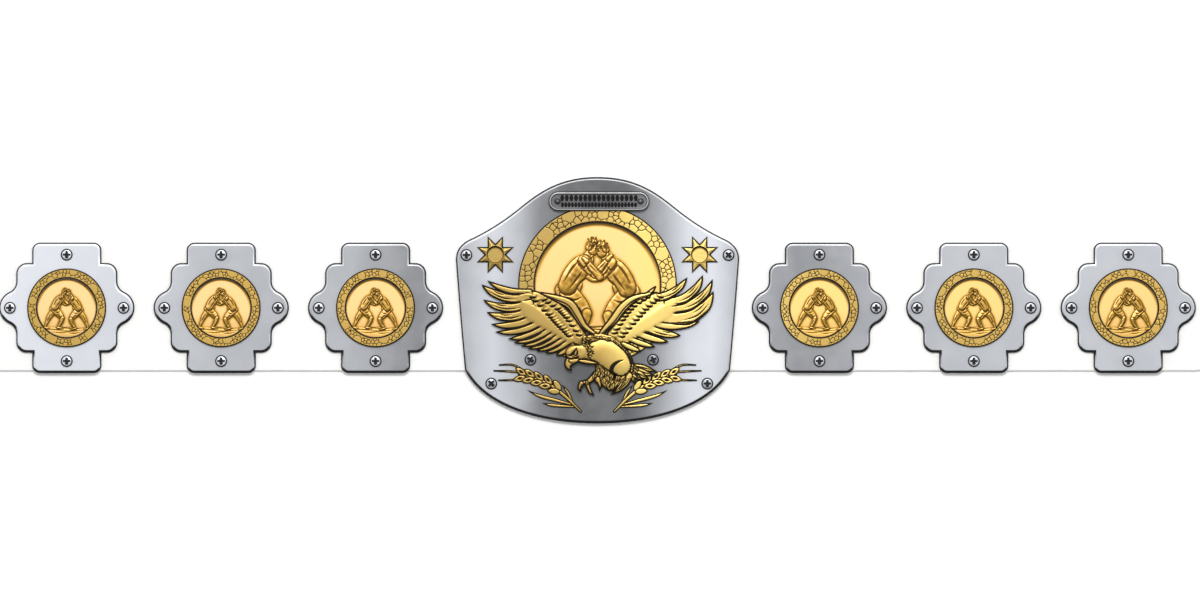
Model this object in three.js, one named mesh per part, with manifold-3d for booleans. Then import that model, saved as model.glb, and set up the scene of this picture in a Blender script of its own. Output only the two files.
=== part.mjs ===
// A championship title belt that lies flat: a leather strap with one large main plate and six
// alike side plates, and on them gold rings, relief discs, stars, wheat, a nameplate and an eagle.
// Millimetres. X runs along the belt, Y up the plates and Z up from the surface it lies on.
import * as THREE from "three";
import { mergeVertices } from "three/addons/utils/BufferGeometryUtils.js";
import Module from "manifold-3d";

const wasm = await Module();
wasm.setup();

// Clearances
const seatGap = 0.1; // between flat faces that lie on each other
const fitGap = 0.3; // round posts and discs, and pieces that pass over others

// Strap
const strapThickness = 3;
const strapWidth = 108;
const panelInset = 2.5; // the strap's edge behind the main plate's edge
const tailLength = 119; // past the outermost side plates
const tailTipWidth = 88;
const tailTipRadius = 22;

// Main plate, measured from the line that runs along the middle of the belt
const plateThickness = 3;
const ringToEdge = 53.5; // from the main ring to the plate's widest point
const mainRise = 112.5;
const mainDrop = 99.4;
const edgeScrewInset = 9.1; // from the plate's widest point
const edgeScrewHeight = 45.4;

// Side plates
const sideCount = 6;
const mainToSide = 10.9; // from the main plate to the first side plate
const sideToSide = 16.5;
const lobeReach = 58.1; // half the plate's length, to the tips of its round lobes
const lobeRadius = 15;
const lobeFillet = 10;
const shoulderHalf = 43.4;
const shoulderHeight = 38.5;
const shoulderRadius = 9;
const tabHalf = 29.7;
const tabHeight = 56.1;
const tabRadius = 6.5;
const lobeScrewInset = 9.3;
const tabScrewInset = 10.4;

// Rings and discs
const discDiameter = 50.8;
const sideRingWidth = 8.5;
const mainDiscDiameter = 108;
const mainRingWidth = 14.2;
const mainRingHeight = 19.6; // centre above the belt's middle line
const ringThickness = 2.4;
const mainRingSides = 36;
const sideRingSides = 20;
const discThickness = 1;
const reliefHeight = 1.2;

// Nameplate
const nameplateLength = 86.8;
const nameplateWidth = 16.7;
const nameplateThickness = 2;
const nameplateHeight = 91.6;
const nameplateShift = 1.3;
const rivetRadius = 2.2;
const rivetDome = 1.1;
const rivetInset = 5.6;

// Stars
const starTip = 17.3;
const starValley = 9.4;
const starPoints = 8;
const starThickness = 2.2;
const starCupRadius = 7.1;
const starCupDepth = 1;
const starY = 45.7;

// Screws, each in one piece with its post
const screwHeadRadius = 5.1;
const screwRim = 1;
const screwDome = 0.7;
const postRadius = 2.5;
const postRecess = 0.25; // from the strap's back to the end of the post
const screwSides = 8;
const holeSides = 6;

// Snap closure
const snapCount = 3;
const snapPitch = 24;
const snapBarLength = 66;
const snapBarWidth = 13;
const snapBarThickness = 1.2;
const snapInset = 24; // from the tip of the tail
const studRadius = 3.5;
const studHeight = 2.6;
const socketWall = 1.4;

// Eagle
const wingHalfSpan = 100;
const eagleHeight = -19.1; // where the wings meet, from the belt's middle line
const featherHeight = 1.4;
const eaglePostRadius = 3;

// Wheat
const earLength = 86;
const wheatThickness = 1.8;
const wheatFootX = 14.5;
const wheatFootY = -88.9;

const gold = { color: 0xdcb45c, roughness: 0.3, metalness: 1 };
const silver = { color: 0xc4c9d2, roughness: 0.25, metalness: 1 };
const darkSilver = { color: 0x85878c, roughness: 0.3, metalness: 1 };
const leather = { color: 0xf0eee9, roughness: 0.6, metalness: 0 };

// What the main plate's width and the stars' place follow
const mainRingReach = mainDiscDiameter / 2 + mainRingWidth;
const mainHalfWidth = mainRingReach + ringToEdge;
const edgeScrewX = mainHalfWidth - edgeScrewInset;
const ringEdgeX = Math.sqrt(mainRingReach ** 2 - (starY - mainRingHeight) ** 2);
const starX = (ringEdgeX + edgeScrewX) / 2; // halfway between the ring and the screw

// Levels
const plateBottom = strapThickness + seatGap;
const plateTop = plateBottom + plateThickness;
const trimBottom = plateTop + seatGap;
const overBottom = trimBottom + ringThickness + fitGap; // what passes over the main ring

// Main plate's right edge from the top to the bottom, as shares of its half width and of its
// rise, or of its drop below the middle line. Each row is one curve with its two handles.
const mainEdge = [
  { ax: 0.25, ay: 1, bx: 0.394, by: 0.901, x: 0.534, y: 0.778 },
  { ax: 0.657, ay: 0.668, bx: 0.772, by: 0.588, x: 0.904, y: 0.522 },
  { ax: 0.957, ay: 0.494, bx: 1, by: 0.449, x: 1, y: 0.369 },
  { ax: 0.979, ay: 0.05, bx: 0.957, by: -0.25, x: 0.936, y: -0.538 },
  { ax: 0.822, ay: -0.825, bx: 0.46, by: -1, x: 0, y: -1 },
];
const mainEdgeSteps = [6, 5, 4, 1, 9];

// Main screws beside the eagle, as shares of the wing's half span from where the wings meet, and
// past the wheat's awns, as shares of the ear's length from the foot of its stem
const screwsByEagle = [
  { x: -0.576, y: -0.255 },
  { x: 0.477, y: -0.255 },
];
const screwsByWheat = [
  { hand: -1, along: 0.893, up: 0.277 },
  { hand: 1, along: 0.929, up: 0.277 },
];
const mainScrews = [
  { x: -edgeScrewX, y: edgeScrewHeight },
  { x: edgeScrewX, y: edgeScrewHeight },
  ...screwsByEagle.map(({ x, y }) => ({ x: x * wingHalfSpan, y: eagleHeight + y * wingHalfSpan })),
  ...screwsByWheat.map(({ hand, along, up }) => ({
    x: hand * (wheatFootX + along * earLength),
    y: wheatFootY + up * earLength,
  })),
];

// Feathers as shares of the wing's half span. bend is the sag of the middle, as a share of the length.
const feathers = [
  { tipX: -0.949, tipY: 0.428, rootX: -0.581, rootY: 0.331, width: 0.056, bend: 0.1 },
  { tipX: -0.998, tipY: 0.394, rootX: -0.598, rootY: 0.284, width: 0.077, bend: 0.13 },
  { tipX: -0.986, tipY: 0.264, rootX: -0.581, rootY: 0.232, width: 0.073, bend: 0.14 },
  { tipX: -0.955, tipY: 0.157, rootX: -0.555, rootY: 0.181, width: 0.077, bend: 0.14 },
  { tipX: -0.918, tipY: 0.052, rootX: -0.52, rootY: 0.12, width: 0.065, bend: 0.1 },
  { tipX: -0.884, tipY: -0.014, rootX: -0.469, rootY: 0.077, width: 0.06, bend: 0.09 },
  { tipX: -0.774, tipY: -0.076, rootX: -0.426, rootY: 0.043, width: 0.056, bend: 0.08 },
  { tipX: -0.724, tipY: -0.11, rootX: -0.383, rootY: 0.017, width: 0.056, bend: 0.07 },
  { tipX: -0.662, tipY: -0.14, rootX: -0.34, rootY: -0.009, width: 0.052, bend: 0.07 },
  { tipX: -0.603, tipY: -0.164, rootX: -0.305, rootY: -0.034, width: 0.052, bend: 0.06 },
  { tipX: -0.529, tipY: -0.181, rootX: -0.271, rootY: -0.069, width: 0.052, bend: 0.05 },
  { tipX: -0.452, tipY: -0.198, rootX: -0.236, rootY: -0.095, width: 0.052, bend: 0.05 },
  { tipX: -0.357, tipY: -0.219, rootX: -0.211, rootY: -0.129, width: 0.052, bend: 0.04 },
  { tipX: 0.506, tipY: 0.384, rootX: 0.348, rootY: 0.249, width: 0.043, bend: -0.05 },
  { tipX: 0.773, tipY: 0.456, rootX: 0.469, rootY: 0.275, width: 0.069, bend: -0.14 },
  { tipX: 0.906, tipY: 0.476, rootX: 0.606, rootY: 0.232, width: 0.077, bend: -0.16 },
  { tipX: 0.991, tipY: 0.441, rootX: 0.641, rootY: 0.181, width: 0.077, bend: -0.17 },
  { tipX: 0.998, tipY: 0.338, rootX: 0.606, rootY: 0.095, width: 0.103, bend: -0.2 },
  { tipX: 0.884, tipY: 0.081, rootX: 0.52, rootY: 0.043, width: 0.06, bend: -0.08 },
  { tipX: 0.72, tipY: -0.047, rootX: 0.408, rootY: 0.026, width: 0.069, bend: -0.05 },
  { tipX: 0.613, tipY: -0.101, rootX: 0.34, rootY: -0.026, width: 0.06, bend: -0.04 },
  { tipX: 0.499, tipY: -0.144, rootX: 0.28, rootY: -0.077, width: 0.052, bend: -0.03 },
  { tipX: 0.378, tipY: -0.183, rootX: 0.219, rootY: -0.12, width: 0.052, bend: -0.02 },
];

// The eagle's other forms: bands with a row for each section, as shares of the wing's half span,
// and each band's height as a multiple of a feather's.
const eagleBands = [
  {
    height: 1.4, // left wing
    rows: [
      { x: -0.589, y: 0.318, half: 0.034 },
      { x: -0.486, y: 0.232, half: 0.12 },
      { x: -0.348, y: 0.112, half: 0.163 },
      { x: -0.211, y: -0.009, half: 0.146 },
      { x: -0.099, y: -0.103, half: 0.077 },
    ],
  },
  {
    height: 1.9, // left coverts
    rows: [
      { x: -0.529, y: 0.31, half: 0.034 },
      { x: -0.417, y: 0.206, half: 0.069 },
      { x: -0.305, y: 0.103, half: 0.077 },
      { x: -0.194, y: 0, half: 0.077 },
      { x: -0.099, y: -0.069, half: 0.043 },
    ],
  },
  {
    height: 1.6, // left wing's leading edge
    rows: [
      { x: -0.486, y: 0.318, half: 0.021 },
      { x: -0.357, y: 0.28, half: 0.034 },
      { x: -0.236, y: 0.224, half: 0.039 },
      { x: -0.176, y: 0.138, half: 0.034 },
      { x: -0.125, y: 0.043, half: 0.03 },
      { x: -0.065, y: -0.017, half: 0.026 },
    ],
  },
  {
    height: 1.4, // right wing
    rows: [
      { x: 0.71, y: 0.258, half: 0.06 },
      { x: 0.572, y: 0.224, half: 0.12 },
      { x: 0.417, y: 0.146, half: 0.163 },
      { x: 0.28, y: 0.034, half: 0.163 },
      { x: 0.159, y: -0.086, half: 0.112 },
    ],
  },
  {
    height: 1.9, // right coverts
    rows: [
      { x: 0.563, y: 0.301, half: 0.034 },
      { x: 0.452, y: 0.249, half: 0.069 },
      { x: 0.34, y: 0.172, half: 0.086 },
      { x: 0.228, y: 0.06, half: 0.086 },
      { x: 0.168, y: -0.034, half: 0.052 },
    ],
  },
  {
    height: 1.6, // right wing's leading edge
    rows: [
      { x: 0.452, y: 0.314, half: 0.017 },
      { x: 0.314, y: 0.271, half: 0.03 },
      { x: 0.219, y: 0.198, half: 0.034 },
      { x: 0.142, y: 0.086, half: 0.034 },
      { x: 0.073, y: 0, half: 0.026 },
    ],
  },
  {
    height: 2.3, // body
    rows: [
      { x: -0.116, y: -0.181, half: 0.086 },
      { x: 0.021, y: -0.163, half: 0.129 },
      { x: 0.15, y: -0.224, half: 0.138 },
      { x: 0.228, y: -0.301, half: 0.103 },
      { x: 0.271, y: -0.353, half: 0.052 },
    ],
  },
  {
    height: 3, // crown of the body
    rows: [
      { x: -0.066, y: -0.171, half: 0.05 },
      { x: 0.031, y: -0.163, half: 0.085 },
      { x: 0.15, y: -0.224, half: 0.09 },
      { x: 0.228, y: -0.301, half: 0.06 },
    ],
  },
  {
    height: 2.7, // neck and head
    rows: [
      { x: -0.047, y: -0.172, half: 0.095 },
      { x: -0.15, y: -0.198, half: 0.077 },
      { x: -0.236, y: -0.224, half: 0.065 },
      { x: -0.271, y: -0.249, half: 0.034 },
    ],
  },
  {
    height: 2.5, // beak
    rows: [
      { x: -0.254, y: -0.232, half: 0.039 },
      { x: -0.262, y: -0.284, half: 0.026 },
      { x: -0.215, y: -0.343, half: 0 },
    ],
  },
  {
    height: 1.7, // left leg
    rows: [
      { x: -0.009, y: -0.267, half: 0.034 },
      { x: -0.013, y: -0.361, half: 0.026 },
      { x: -0.069, y: -0.43, half: 0.022 },
      { x: -0.099, y: -0.482, half: 0.022 },
    ],
  },
  {
    height: 1.5, // first claw
    rows: [
      { x: -0.09, y: -0.456, half: 0.015 },
      { x: -0.138, y: -0.49, half: 0.013 },
      { x: -0.129, y: -0.537, half: 0 },
    ],
  },
  {
    height: 1.6, // second claw
    rows: [
      { x: -0.099, y: -0.473, half: 0.015 },
      { x: -0.082, y: -0.525, half: 0.014 },
      { x: -0.051, y: -0.559, half: 0 },
    ],
  },
  {
    height: 1.8, // third claw
    rows: [
      { x: -0.073, y: -0.447, half: 0.015 },
      { x: -0.039, y: -0.507, half: 0.014 },
      { x: -0.023, y: -0.562, half: 0 },
    ],
  },
  {
    height: 1.8, // right leg
    rows: [
      { x: 0.056, y: -0.31, half: 0.06 },
      { x: 0.073, y: -0.404, half: 0.065 },
      { x: 0.116, y: -0.482, half: 0.06 },
      { x: 0.107, y: -0.525, half: 0.026 },
    ],
  },
  {
    height: 1.5, // right foot
    rows: [
      { x: 0.236, y: -0.37, half: 0.06 },
      { x: 0.254, y: -0.43, half: 0.052 },
      { x: 0.185, y: -0.499, half: 0.031 },
      { x: 0.103, y: -0.562, half: 0 },
    ],
  },
  {
    height: 1.6, // inner talon
    rows: [
      { x: 0.013, y: -0.327, half: 0.043 },
      { x: 0.004, y: -0.43, half: 0.039 },
      { x: 0.017, y: -0.533, half: 0 },
    ],
  },
  {
    height: 1, // tail
    rows: [
      { x: 0.271, y: -0.292, half: 0.043 },
      { x: 0.374, y: -0.344, half: 0.056 },
      { x: 0.443, y: -0.365, half: 0.039 },
      { x: 0.503, y: -0.365, half: 0 },
    ],
  },
];

// Where the eagle's hidden posts stand beside the main ring, as shares of the wing's half span
const eaglePosts = [
  { x: -0.71, y: 0.17 },
  { x: 0.76, y: 0.25 },
  { x: 0.09, y: -0.45 },
];

// Wheat, as shares of the ear's length from the foot of its stem
const wheatBands = [
  [ // stem
    { x: 0, y: 0, half: 0.012 },
    { x: -0.088, y: 0.088, half: 0.016 },
    { x: -0.18, y: 0.172, half: 0.02 },
    { x: -0.326, y: 0.277, half: 0.016 },
    { x: -0.506, y: 0.344, half: 0.014 },
    { x: -0.62, y: 0.372, half: 0.01 },
  ],
  [ // upper awn
    { x: -0.811, y: 0.463, half: 0 },
    { x: -0.678, y: 0.463, half: 0.01 },
    { x: -0.57, y: 0.41, half: 0.012 },
  ],
  [ // middle awn
    { x: -0.865, y: 0.405, half: 0 },
    { x: -0.6, y: 0.39, half: 0.012 },
  ],
  [ // lower awn
    { x: -0.819, y: 0.31, half: 0 },
    { x: -0.6, y: 0.32, half: 0.012 },
  ],
  [ // long leaf
    { x: -0.536, y: 0.214, half: 0 },
    { x: -0.417, y: 0.156, half: 0.016 },
    { x: -0.264, y: 0.114, half: 0.018 },
    { x: -0.07, y: 0.065, half: 0.012 },
  ],
  [ // short leaf
    { x: -0.387, y: 0.084, half: 0 },
    { x: -0.28, y: 0.061, half: 0.016 },
    { x: -0.05, y: 0.045, half: 0.012 },
  ],
  [ // upper leaf
    { x: -0.192, y: 0.271, half: 0 },
    { x: -0.13, y: 0.19, half: 0.016 },
    { x: -0.08, y: 0.085, half: 0.012 },
  ],
];
const kernels = [
  { x: -0.601, y: 0.361 },
  { x: -0.515, y: 0.344 },
  { x: -0.429, y: 0.317 },
  { x: -0.341, y: 0.283 },
  { x: -0.249, y: 0.229 },
];
const kernelShape = { length: 0.125, half: 0.028, offset: 0.034, splay: 0.42 };

// One of two grapplers who face each other, as shares of the disc's radius. The other is his mirror.
const grapplerBands = [
  {
    height: 1, // back
    rows: [
      { x: -0.36, y: -0.04, half: 0.13 },
      { x: -0.22, y: 0.2, half: 0.14 },
      { x: -0.06, y: 0.34, half: 0.1 },
    ],
  },
  {
    height: 0.7, // far leg
    rows: [
      { x: -0.36, y: -0.08, half: 0.12 },
      { x: -0.56, y: -0.34, half: 0.08 },
      { x: -0.66, y: -0.62, half: 0.05 },
    ],
  },
  {
    height: 0.7, // near leg
    rows: [
      { x: -0.33, y: -0.08, half: 0.12 },
      { x: -0.14, y: -0.3, half: 0.08 },
      { x: -0.26, y: -0.64, half: 0.05 },
    ],
  },
  {
    height: 1, // head
    rows: [
      { x: -0.1, y: 0.36, half: 0.1 },
      { x: -0.02, y: 0.48, half: 0.09 },
    ],
  },
];
const groundBand = { x: 0.66, y: -0.66, half: 0.03 };

// A triangle mesh as a solid for cuts and joins
function solidOf(geometry) {
  const bare = geometry.index ? geometry.toNonIndexed() : geometry.clone();
  bare.deleteAttribute("normal");
  bare.deleteAttribute("uv");
  const merged = mergeVertices(bare, 1e-4);
  return new wasm.Manifold(
    new wasm.Mesh({
      numProp: 3,
      vertProperties: merged.attributes.position.array,
      triVerts: new Uint32Array(merged.index.array),
    }),
  );
}

function geometryOf(solid) {
  const mesh = solid.getMesh();
  const geometry = new THREE.BufferGeometry();
  const points = new Float32Array(mesh.numVert * 3);
  for (let i = 0; i < mesh.numVert; i++) {
    const start = i * mesh.numProp;
    points.set(mesh.vertProperties.subarray(start, start + 3), i * 3);
  }
  geometry.setAttribute("position", new THREE.BufferAttribute(points, 3));
  geometry.setIndex(new THREE.BufferAttribute(mesh.triVerts, 1));
  geometry.computeVertexNormals();
  return geometry;
}

// A flat piece of the given outline from one level up to another
function slab(outline, bottom, top) {
  const shape = new THREE.Shape(outline);
  const geometry = new THREE.ExtrudeGeometry(shape, { depth: top - bottom, bevelEnabled: false });
  return solidOf(geometry.translate(0, 0, bottom));
}

// A turned piece: rows of radius and level, from the axis at the bottom to the axis at the top
function turned(rows, sides, x = 0, y = 0) {
  const profile = rows.map((row) => new THREE.Vector2(row.radius, row.level));
  const geometry = new THREE.LatheGeometry(profile, sides);
  return solidOf(geometry.rotateX(Math.PI / 2).translate(x, y, 0));
}

function joined(solids) {
  return solids.reduce((whole, solid) => whole.add(solid));
}

function arc(x, y, radius, from, to, steps) {
  return Array.from({ length: steps + 1 }, (_, i) => {
    const angle = from + ((to - from) * i) / steps;
    return new THREE.Vector2(x + radius * Math.cos(angle), y + radius * Math.sin(angle));
  });
}

function circle(x, y, radius, sides) {
  return arc(x, y, radius, 0, 2 * Math.PI, sides).slice(1);
}

function holesAt(places, radius, sides, bottom, top) {
  return joined(places.map((place) => slab(circle(place.x, place.y, radius, sides), bottom, top)));
}

// Outline of a band whose middle runs smoothly through its rows
function bandOutline(rows, scale, steps) {
  const middle = new THREE.SplineCurve(rows.map((r) => new THREE.Vector2(r.x * scale, r.y * scale)));
  const sides = [[], []];
  for (let i = 0; i <= steps; i++) {
    const t = i / steps;
    const along = t * (rows.length - 1);
    const row = Math.min(Math.floor(along), rows.length - 2);
    const half = THREE.MathUtils.lerp(rows[row].half, rows[row + 1].half, along - row) * scale;
    const point = middle.getPoint(t);
    const ahead = middle.getTangent(t);
    const normal = new THREE.Vector2(-ahead.y, ahead.x);
    sides[0].push(point.clone().addScaledVector(normal, -half));
    if (half > 0) sides[1].push(point.clone().addScaledVector(normal, half));
  }
  return [...sides[0], ...sides[1].reverse()];
}

function band(rows, scale, bottom, top, steps) {
  return slab(bandOutline(rows, scale, steps), bottom, top);
}

// Outlines
function mainOutline(inset) {
  const wide = mainHalfWidth - inset;
  const place = (x, y) => new THREE.Vector2(x * wide, y * ((y > 0 ? mainRise : mainDrop) - inset));
  let start = place(0, 1);
  const right = [start];
  mainEdge.forEach((row, i) => {
    const end = place(row.x, row.y);
    const curve = new THREE.CubicBezierCurve(start, place(row.ax, row.ay), place(row.bx, row.by), end);
    right.push(...curve.getPoints(mainEdgeSteps[i]).slice(1));
    start = end;
  });
  const left = right.slice(1, -1).map((p) => new THREE.Vector2(-p.x, p.y));
  return [...right, ...left.reverse()].reverse();
}

function sideOutline() {
  const lobeX = lobeReach - lobeRadius;
  const filletX = shoulderHalf + lobeFillet;
  const filletY = Math.sqrt((lobeRadius + lobeFillet) ** 2 - (filletX - lobeX) ** 2);
  const touch = Math.atan2(filletY, filletX - lobeX);
  const quarter = [
    ...arc(lobeX, 0, lobeRadius, 0, touch, 3),
    ...arc(filletX, filletY, lobeFillet, Math.PI + touch, Math.PI, 2).slice(1),
    ...arc(shoulderHalf - shoulderRadius, shoulderHeight - shoulderRadius, shoulderRadius, 0, Math.PI / 2, 2),
    new THREE.Vector2(tabHalf, shoulderHeight),
    ...arc(tabHalf - tabRadius, tabHeight - tabRadius, tabRadius, 0, Math.PI / 2, 2),
  ];
  const flip = (points, x, y) => points.map((p) => new THREE.Vector2(p.x * x, p.y * y));
  const upperLeft = flip(quarter, -1, 1).reverse();
  const lowerLeft = flip(quarter, -1, -1).slice(1);
  const lowerRight = flip(quarter, 1, -1).reverse().slice(0, -1);
  return [...quarter, ...upperLeft, ...lowerLeft, ...lowerRight];
}

function roundEndBar(length, width, steps) {
  const radius = width / 2;
  const reach = length / 2 - radius;
  return [
    ...arc(reach, 0, radius, -Math.PI / 2, Math.PI / 2, steps),
    ...arc(-reach, 0, radius, Math.PI / 2, (3 * Math.PI) / 2, steps),
  ];
}

// Places along the belt
const sideScrews = [
  { x: -(lobeReach - lobeScrewInset), y: 0 },
  { x: lobeReach - lobeScrewInset, y: 0 },
  { x: 0, y: tabHeight - tabScrewInset },
  { x: 0, y: -(tabHeight - tabScrewInset) },
];
const firstSide = mainHalfWidth + mainToSide + lobeReach;
const sidePitch = 2 * lobeReach + sideToSide;
const perHand = sideCount / 2;
const sidePlaces = Array.from({ length: sideCount }, (_, i) => {
  const hand = i < perHand ? -1 : 1;
  const rank = i < perHand ? perHand - 1 - i : i - perHand;
  return hand * (firstSide + rank * sidePitch);
});
const strapHalfLength = firstSide + (perHand - 1) * sidePitch + lobeReach + tailLength;
const snapX = strapHalfLength - snapInset;
const snapPlaces = Array.from({ length: snapCount }, (_, i) => ({
  x: 0,
  y: (i - (snapCount - 1) / 2) * snapPitch,
}));
const socketRadius = studRadius + fitGap + socketWall;
const allScrews = [
  ...mainScrews,
  ...sidePlaces.flatMap((x) => sideScrews.map((s) => ({ x: x + s.x, y: s.y }))),
];
const holeRadius = (postRadius + fitGap) / Math.cos(Math.PI / holeSides);

// Pieces
function strapSolid() {
  const half = strapWidth / 2;
  const tip = tailTipWidth / 2;
  const tailStart = strapHalfLength - tailLength;
  const corner = strapHalfLength - tailTipRadius;
  const right = [
    new THREE.Vector2(tailStart, -half),
    ...arc(corner, -tip + tailTipRadius, tailTipRadius, -Math.PI / 2, 0, 4),
    ...arc(corner, tip - tailTipRadius, tailTipRadius, 0, Math.PI / 2, 4),
    new THREE.Vector2(tailStart, half),
  ];
  const left = right.map((p) => new THREE.Vector2(-p.x, -p.y));
  const whole = slab([...right, ...left], 0, strapThickness).add(
    slab(mainOutline(panelInset), 0, strapThickness),
  );
  const below = -1;
  const above = strapThickness + 1;
  const atTail = (hand) => snapPlaces.map((place) => ({ x: hand * snapX, y: place.y }));
  return whole
    .subtract(holesAt(allScrews, holeRadius, holeSides, below, above))
    .subtract(holesAt(atTail(-1), holeRadius, holeSides, below, above))
    .subtract(holesAt(atTail(1), socketRadius + fitGap, screwSides, below, above));
}

function plateSolid(outline, places) {
  const holes = holesAt(places, holeRadius, holeSides, plateBottom - 1, plateTop + 1);
  return slab(outline, plateBottom, plateTop).subtract(holes);
}

function ringSolid(innerDiameter, width, sides) {
  const inner = innerDiameter / 2;
  const outer = inner + width;
  const top = trimBottom + ringThickness;
  const whole = turned(
    [
      { radius: 0, level: trimBottom },
      { radius: outer, level: trimBottom },
      { radius: outer, level: top },
      { radius: 0, level: top },
    ],
    sides,
  );
  return whole.subtract(slab(circle(0, 0, inner, sides), trimBottom - 1, top + 1));
}

function discSolid(diameter, sides) {
  const radius = diameter / 2 - fitGap;
  const top = trimBottom + discThickness;
  const figures = grapplerBands.flatMap((part) =>
    [1, -1].map((hand) => {
      const rows = part.rows.map((r) => ({ x: hand * r.x, y: r.y, half: r.half }));
      return band(rows, radius, trimBottom, top + reliefHeight * part.height, part.rows.length - 1);
    }),
  );
  const ground = [
    { x: -groundBand.x, y: groundBand.y, half: groundBand.half },
    { x: groundBand.x, y: groundBand.y, half: groundBand.half },
  ];
  const floor = band(ground, radius, trimBottom, top + reliefHeight / 2, 1);
  return joined([slab(circle(0, 0, radius, sides), trimBottom, top), floor, ...figures]);
}

function nameplateSolid() {
  const top = overBottom + nameplateThickness;
  const bar = slab(roundEndBar(nameplateLength, nameplateWidth, 6), overBottom, top);
  const rivetX = nameplateLength / 2 - rivetInset - rivetRadius;
  const rivets = [-1, 1].map((hand) =>
    turned(
      [
        { radius: 0, level: trimBottom },
        { radius: rivetRadius, level: trimBottom },
        { radius: rivetRadius, level: top + rivetDome / 2 },
        { radius: rivetRadius / 2, level: top + rivetDome },
        { radius: 0, level: top + rivetDome },
      ],
      screwSides,
      hand * rivetX,
    ),
  );
  return joined([bar, ...rivets]);
}

function starSolid() {
  const top = trimBottom + starThickness;
  const corners = Array.from({ length: 2 * starPoints }, (_, i) => {
    const angle = (Math.PI / starPoints) * (i + 1);
    const radius = i % 2 ? starValley : starTip;
    return new THREE.Vector2(radius * Math.cos(angle), radius * Math.sin(angle));
  });
  const cup = slab(circle(0, 0, starCupRadius, 16), top - starCupDepth, top + 1);
  return slab(corners, trimBottom, top).subtract(cup);
}

function screwSolid() {
  const rim = trimBottom + screwRim;
  return turned(
    [
      { radius: 0, level: postRecess },
      { radius: postRadius, level: postRecess },
      { radius: postRadius, level: trimBottom },
      { radius: screwHeadRadius, level: trimBottom },
      { radius: screwHeadRadius, level: rim },
      { radius: screwHeadRadius * 0.6, level: rim + screwDome },
      { radius: 0, level: rim + screwDome },
    ],
    screwSides,
  );
}

function featherRows(feather) {
  const { tipX, tipY, rootX, rootY, width, bend } = feather;
  const middle = (share, half) => {
    const sag = bend * 4 * share * (1 - share);
    return {
      x: rootX + (tipX - rootX) * share - (tipY - rootY) * sag,
      y: rootY + (tipY - rootY) * share + (tipX - rootX) * sag,
      half: half * width,
    };
  };
  return [middle(0, 0.4), middle(0.33, 0.5), middle(0.67, 0.44), middle(1, 0)];
}

function eagleSolid() {
  const parts = feathers.map((feather, i) => {
    const top = overBottom + featherHeight * (i % 2 ? 1 : 0.85);
    return band(featherRows(feather), wingHalfSpan, overBottom, top, 3);
  });
  for (const { height, rows } of eagleBands)
    parts.push(band(rows, wingHalfSpan, overBottom, overBottom + featherHeight * height, rows.length - 1));
  for (const post of eaglePosts)
    parts.push(
      slab(
        circle(post.x * wingHalfSpan, post.y * wingHalfSpan, eaglePostRadius, screwSides),
        trimBottom,
        overBottom + featherHeight / 2,
      ),
    );
  return joined(parts);
}

function wheatSolid() {
  const top = trimBottom + wheatThickness;
  const parts = wheatBands.map((rows) => band(rows, earLength, trimBottom, top, rows.length - 1));
  const { length, half, offset, splay } = kernelShape;
  kernels.forEach((place, i) => {
    const next = kernels[Math.min(i + 1, kernels.length - 1)];
    const last = kernels[Math.max(i - 1, 0)];
    const along = Math.atan2(last.y - next.y, last.x - next.x);
    for (const side of [-1, 1]) {
      const middleX = place.x - Math.sin(along) * offset * side;
      const middleY = place.y + Math.cos(along) * offset * side;
      const turn = along + splay * side;
      const rows = [-0.5, 0, 0.5].map((share) => ({
        x: middleX + Math.cos(turn) * length * share,
        y: middleY + Math.sin(turn) * length * share,
        half: share ? 0 : half,
      }));
      parts.push(band(rows, earLength, trimBottom, top, 2));
    }
  });
  return joined(parts);
}

function snapBar(posts) {
  const outline = roundEndBar(snapBarLength, snapBarWidth, 3).map((p) => new THREE.Vector2(-p.y, p.x));
  return joined([slab(outline, plateBottom, plateBottom + snapBarThickness), ...posts]);
}

function snapStudsSolid() {
  const top = plateBottom + snapBarThickness + studHeight;
  return snapBar([
    holesAt(snapPlaces, postRadius, holeSides, postRecess, plateBottom),
    holesAt(snapPlaces, studRadius, screwSides, plateBottom, top),
  ]);
}

function snapSocketsSolid() {
  const cap = plateBottom + snapBarThickness;
  const bore = studRadius + fitGap;
  const posts = holesAt(snapPlaces, socketRadius, screwSides, postRecess, cap);
  const roof = postRecess + studHeight + fitGap;
  return snapBar([posts]).subtract(holesAt(snapPlaces, bore, screwSides, 0, roof));
}

// Assembly, built round the belt's middle line and then set with its outline centred on the origin
const belt = new THREE.Group();
belt.position.y = (mainDrop - mainRise) / 2;

function place(name, geometry, finish, x, y, parent = belt) {
  const mesh = new THREE.Mesh(geometry, new THREE.MeshStandardMaterial(finish));
  mesh.name = name;
  mesh.position.set(x, y, 0);
  parent.add(mesh);
  return mesh;
}

place("strap", geometryOf(strapSolid()), leather, 0, 0);
place("main_plate", geometryOf(plateSolid(mainOutline(0), mainScrews)), silver, 0, 0);
place("main_ring", geometryOf(ringSolid(mainDiscDiameter, mainRingWidth, mainRingSides)), gold, 0, mainRingHeight);
place("main_medallion", geometryOf(discSolid(mainDiscDiameter, mainRingSides)), gold, 0, mainRingHeight);
place("nameplate", geometryOf(nameplateSolid()), darkSilver, nameplateShift, nameplateHeight);
place("eagle", geometryOf(eagleSolid()), gold, 0, eagleHeight);

const starGeometry = geometryOf(starSolid());
place("star_left", starGeometry, gold, -starX, starY);
place("star_right", starGeometry, gold, starX, starY);

const wheatGeometry = geometryOf(wheatSolid());
place("wheat_left", wheatGeometry, gold, -wheatFootX, wheatFootY);
place("wheat_right", wheatGeometry, gold, wheatFootX, wheatFootY).scale.x = -1;

const screwGeometry = geometryOf(screwSolid());
mainScrews.forEach((screw, i) => place(`main_screw_${i + 1}`, screwGeometry, silver, screw.x, screw.y));

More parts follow.
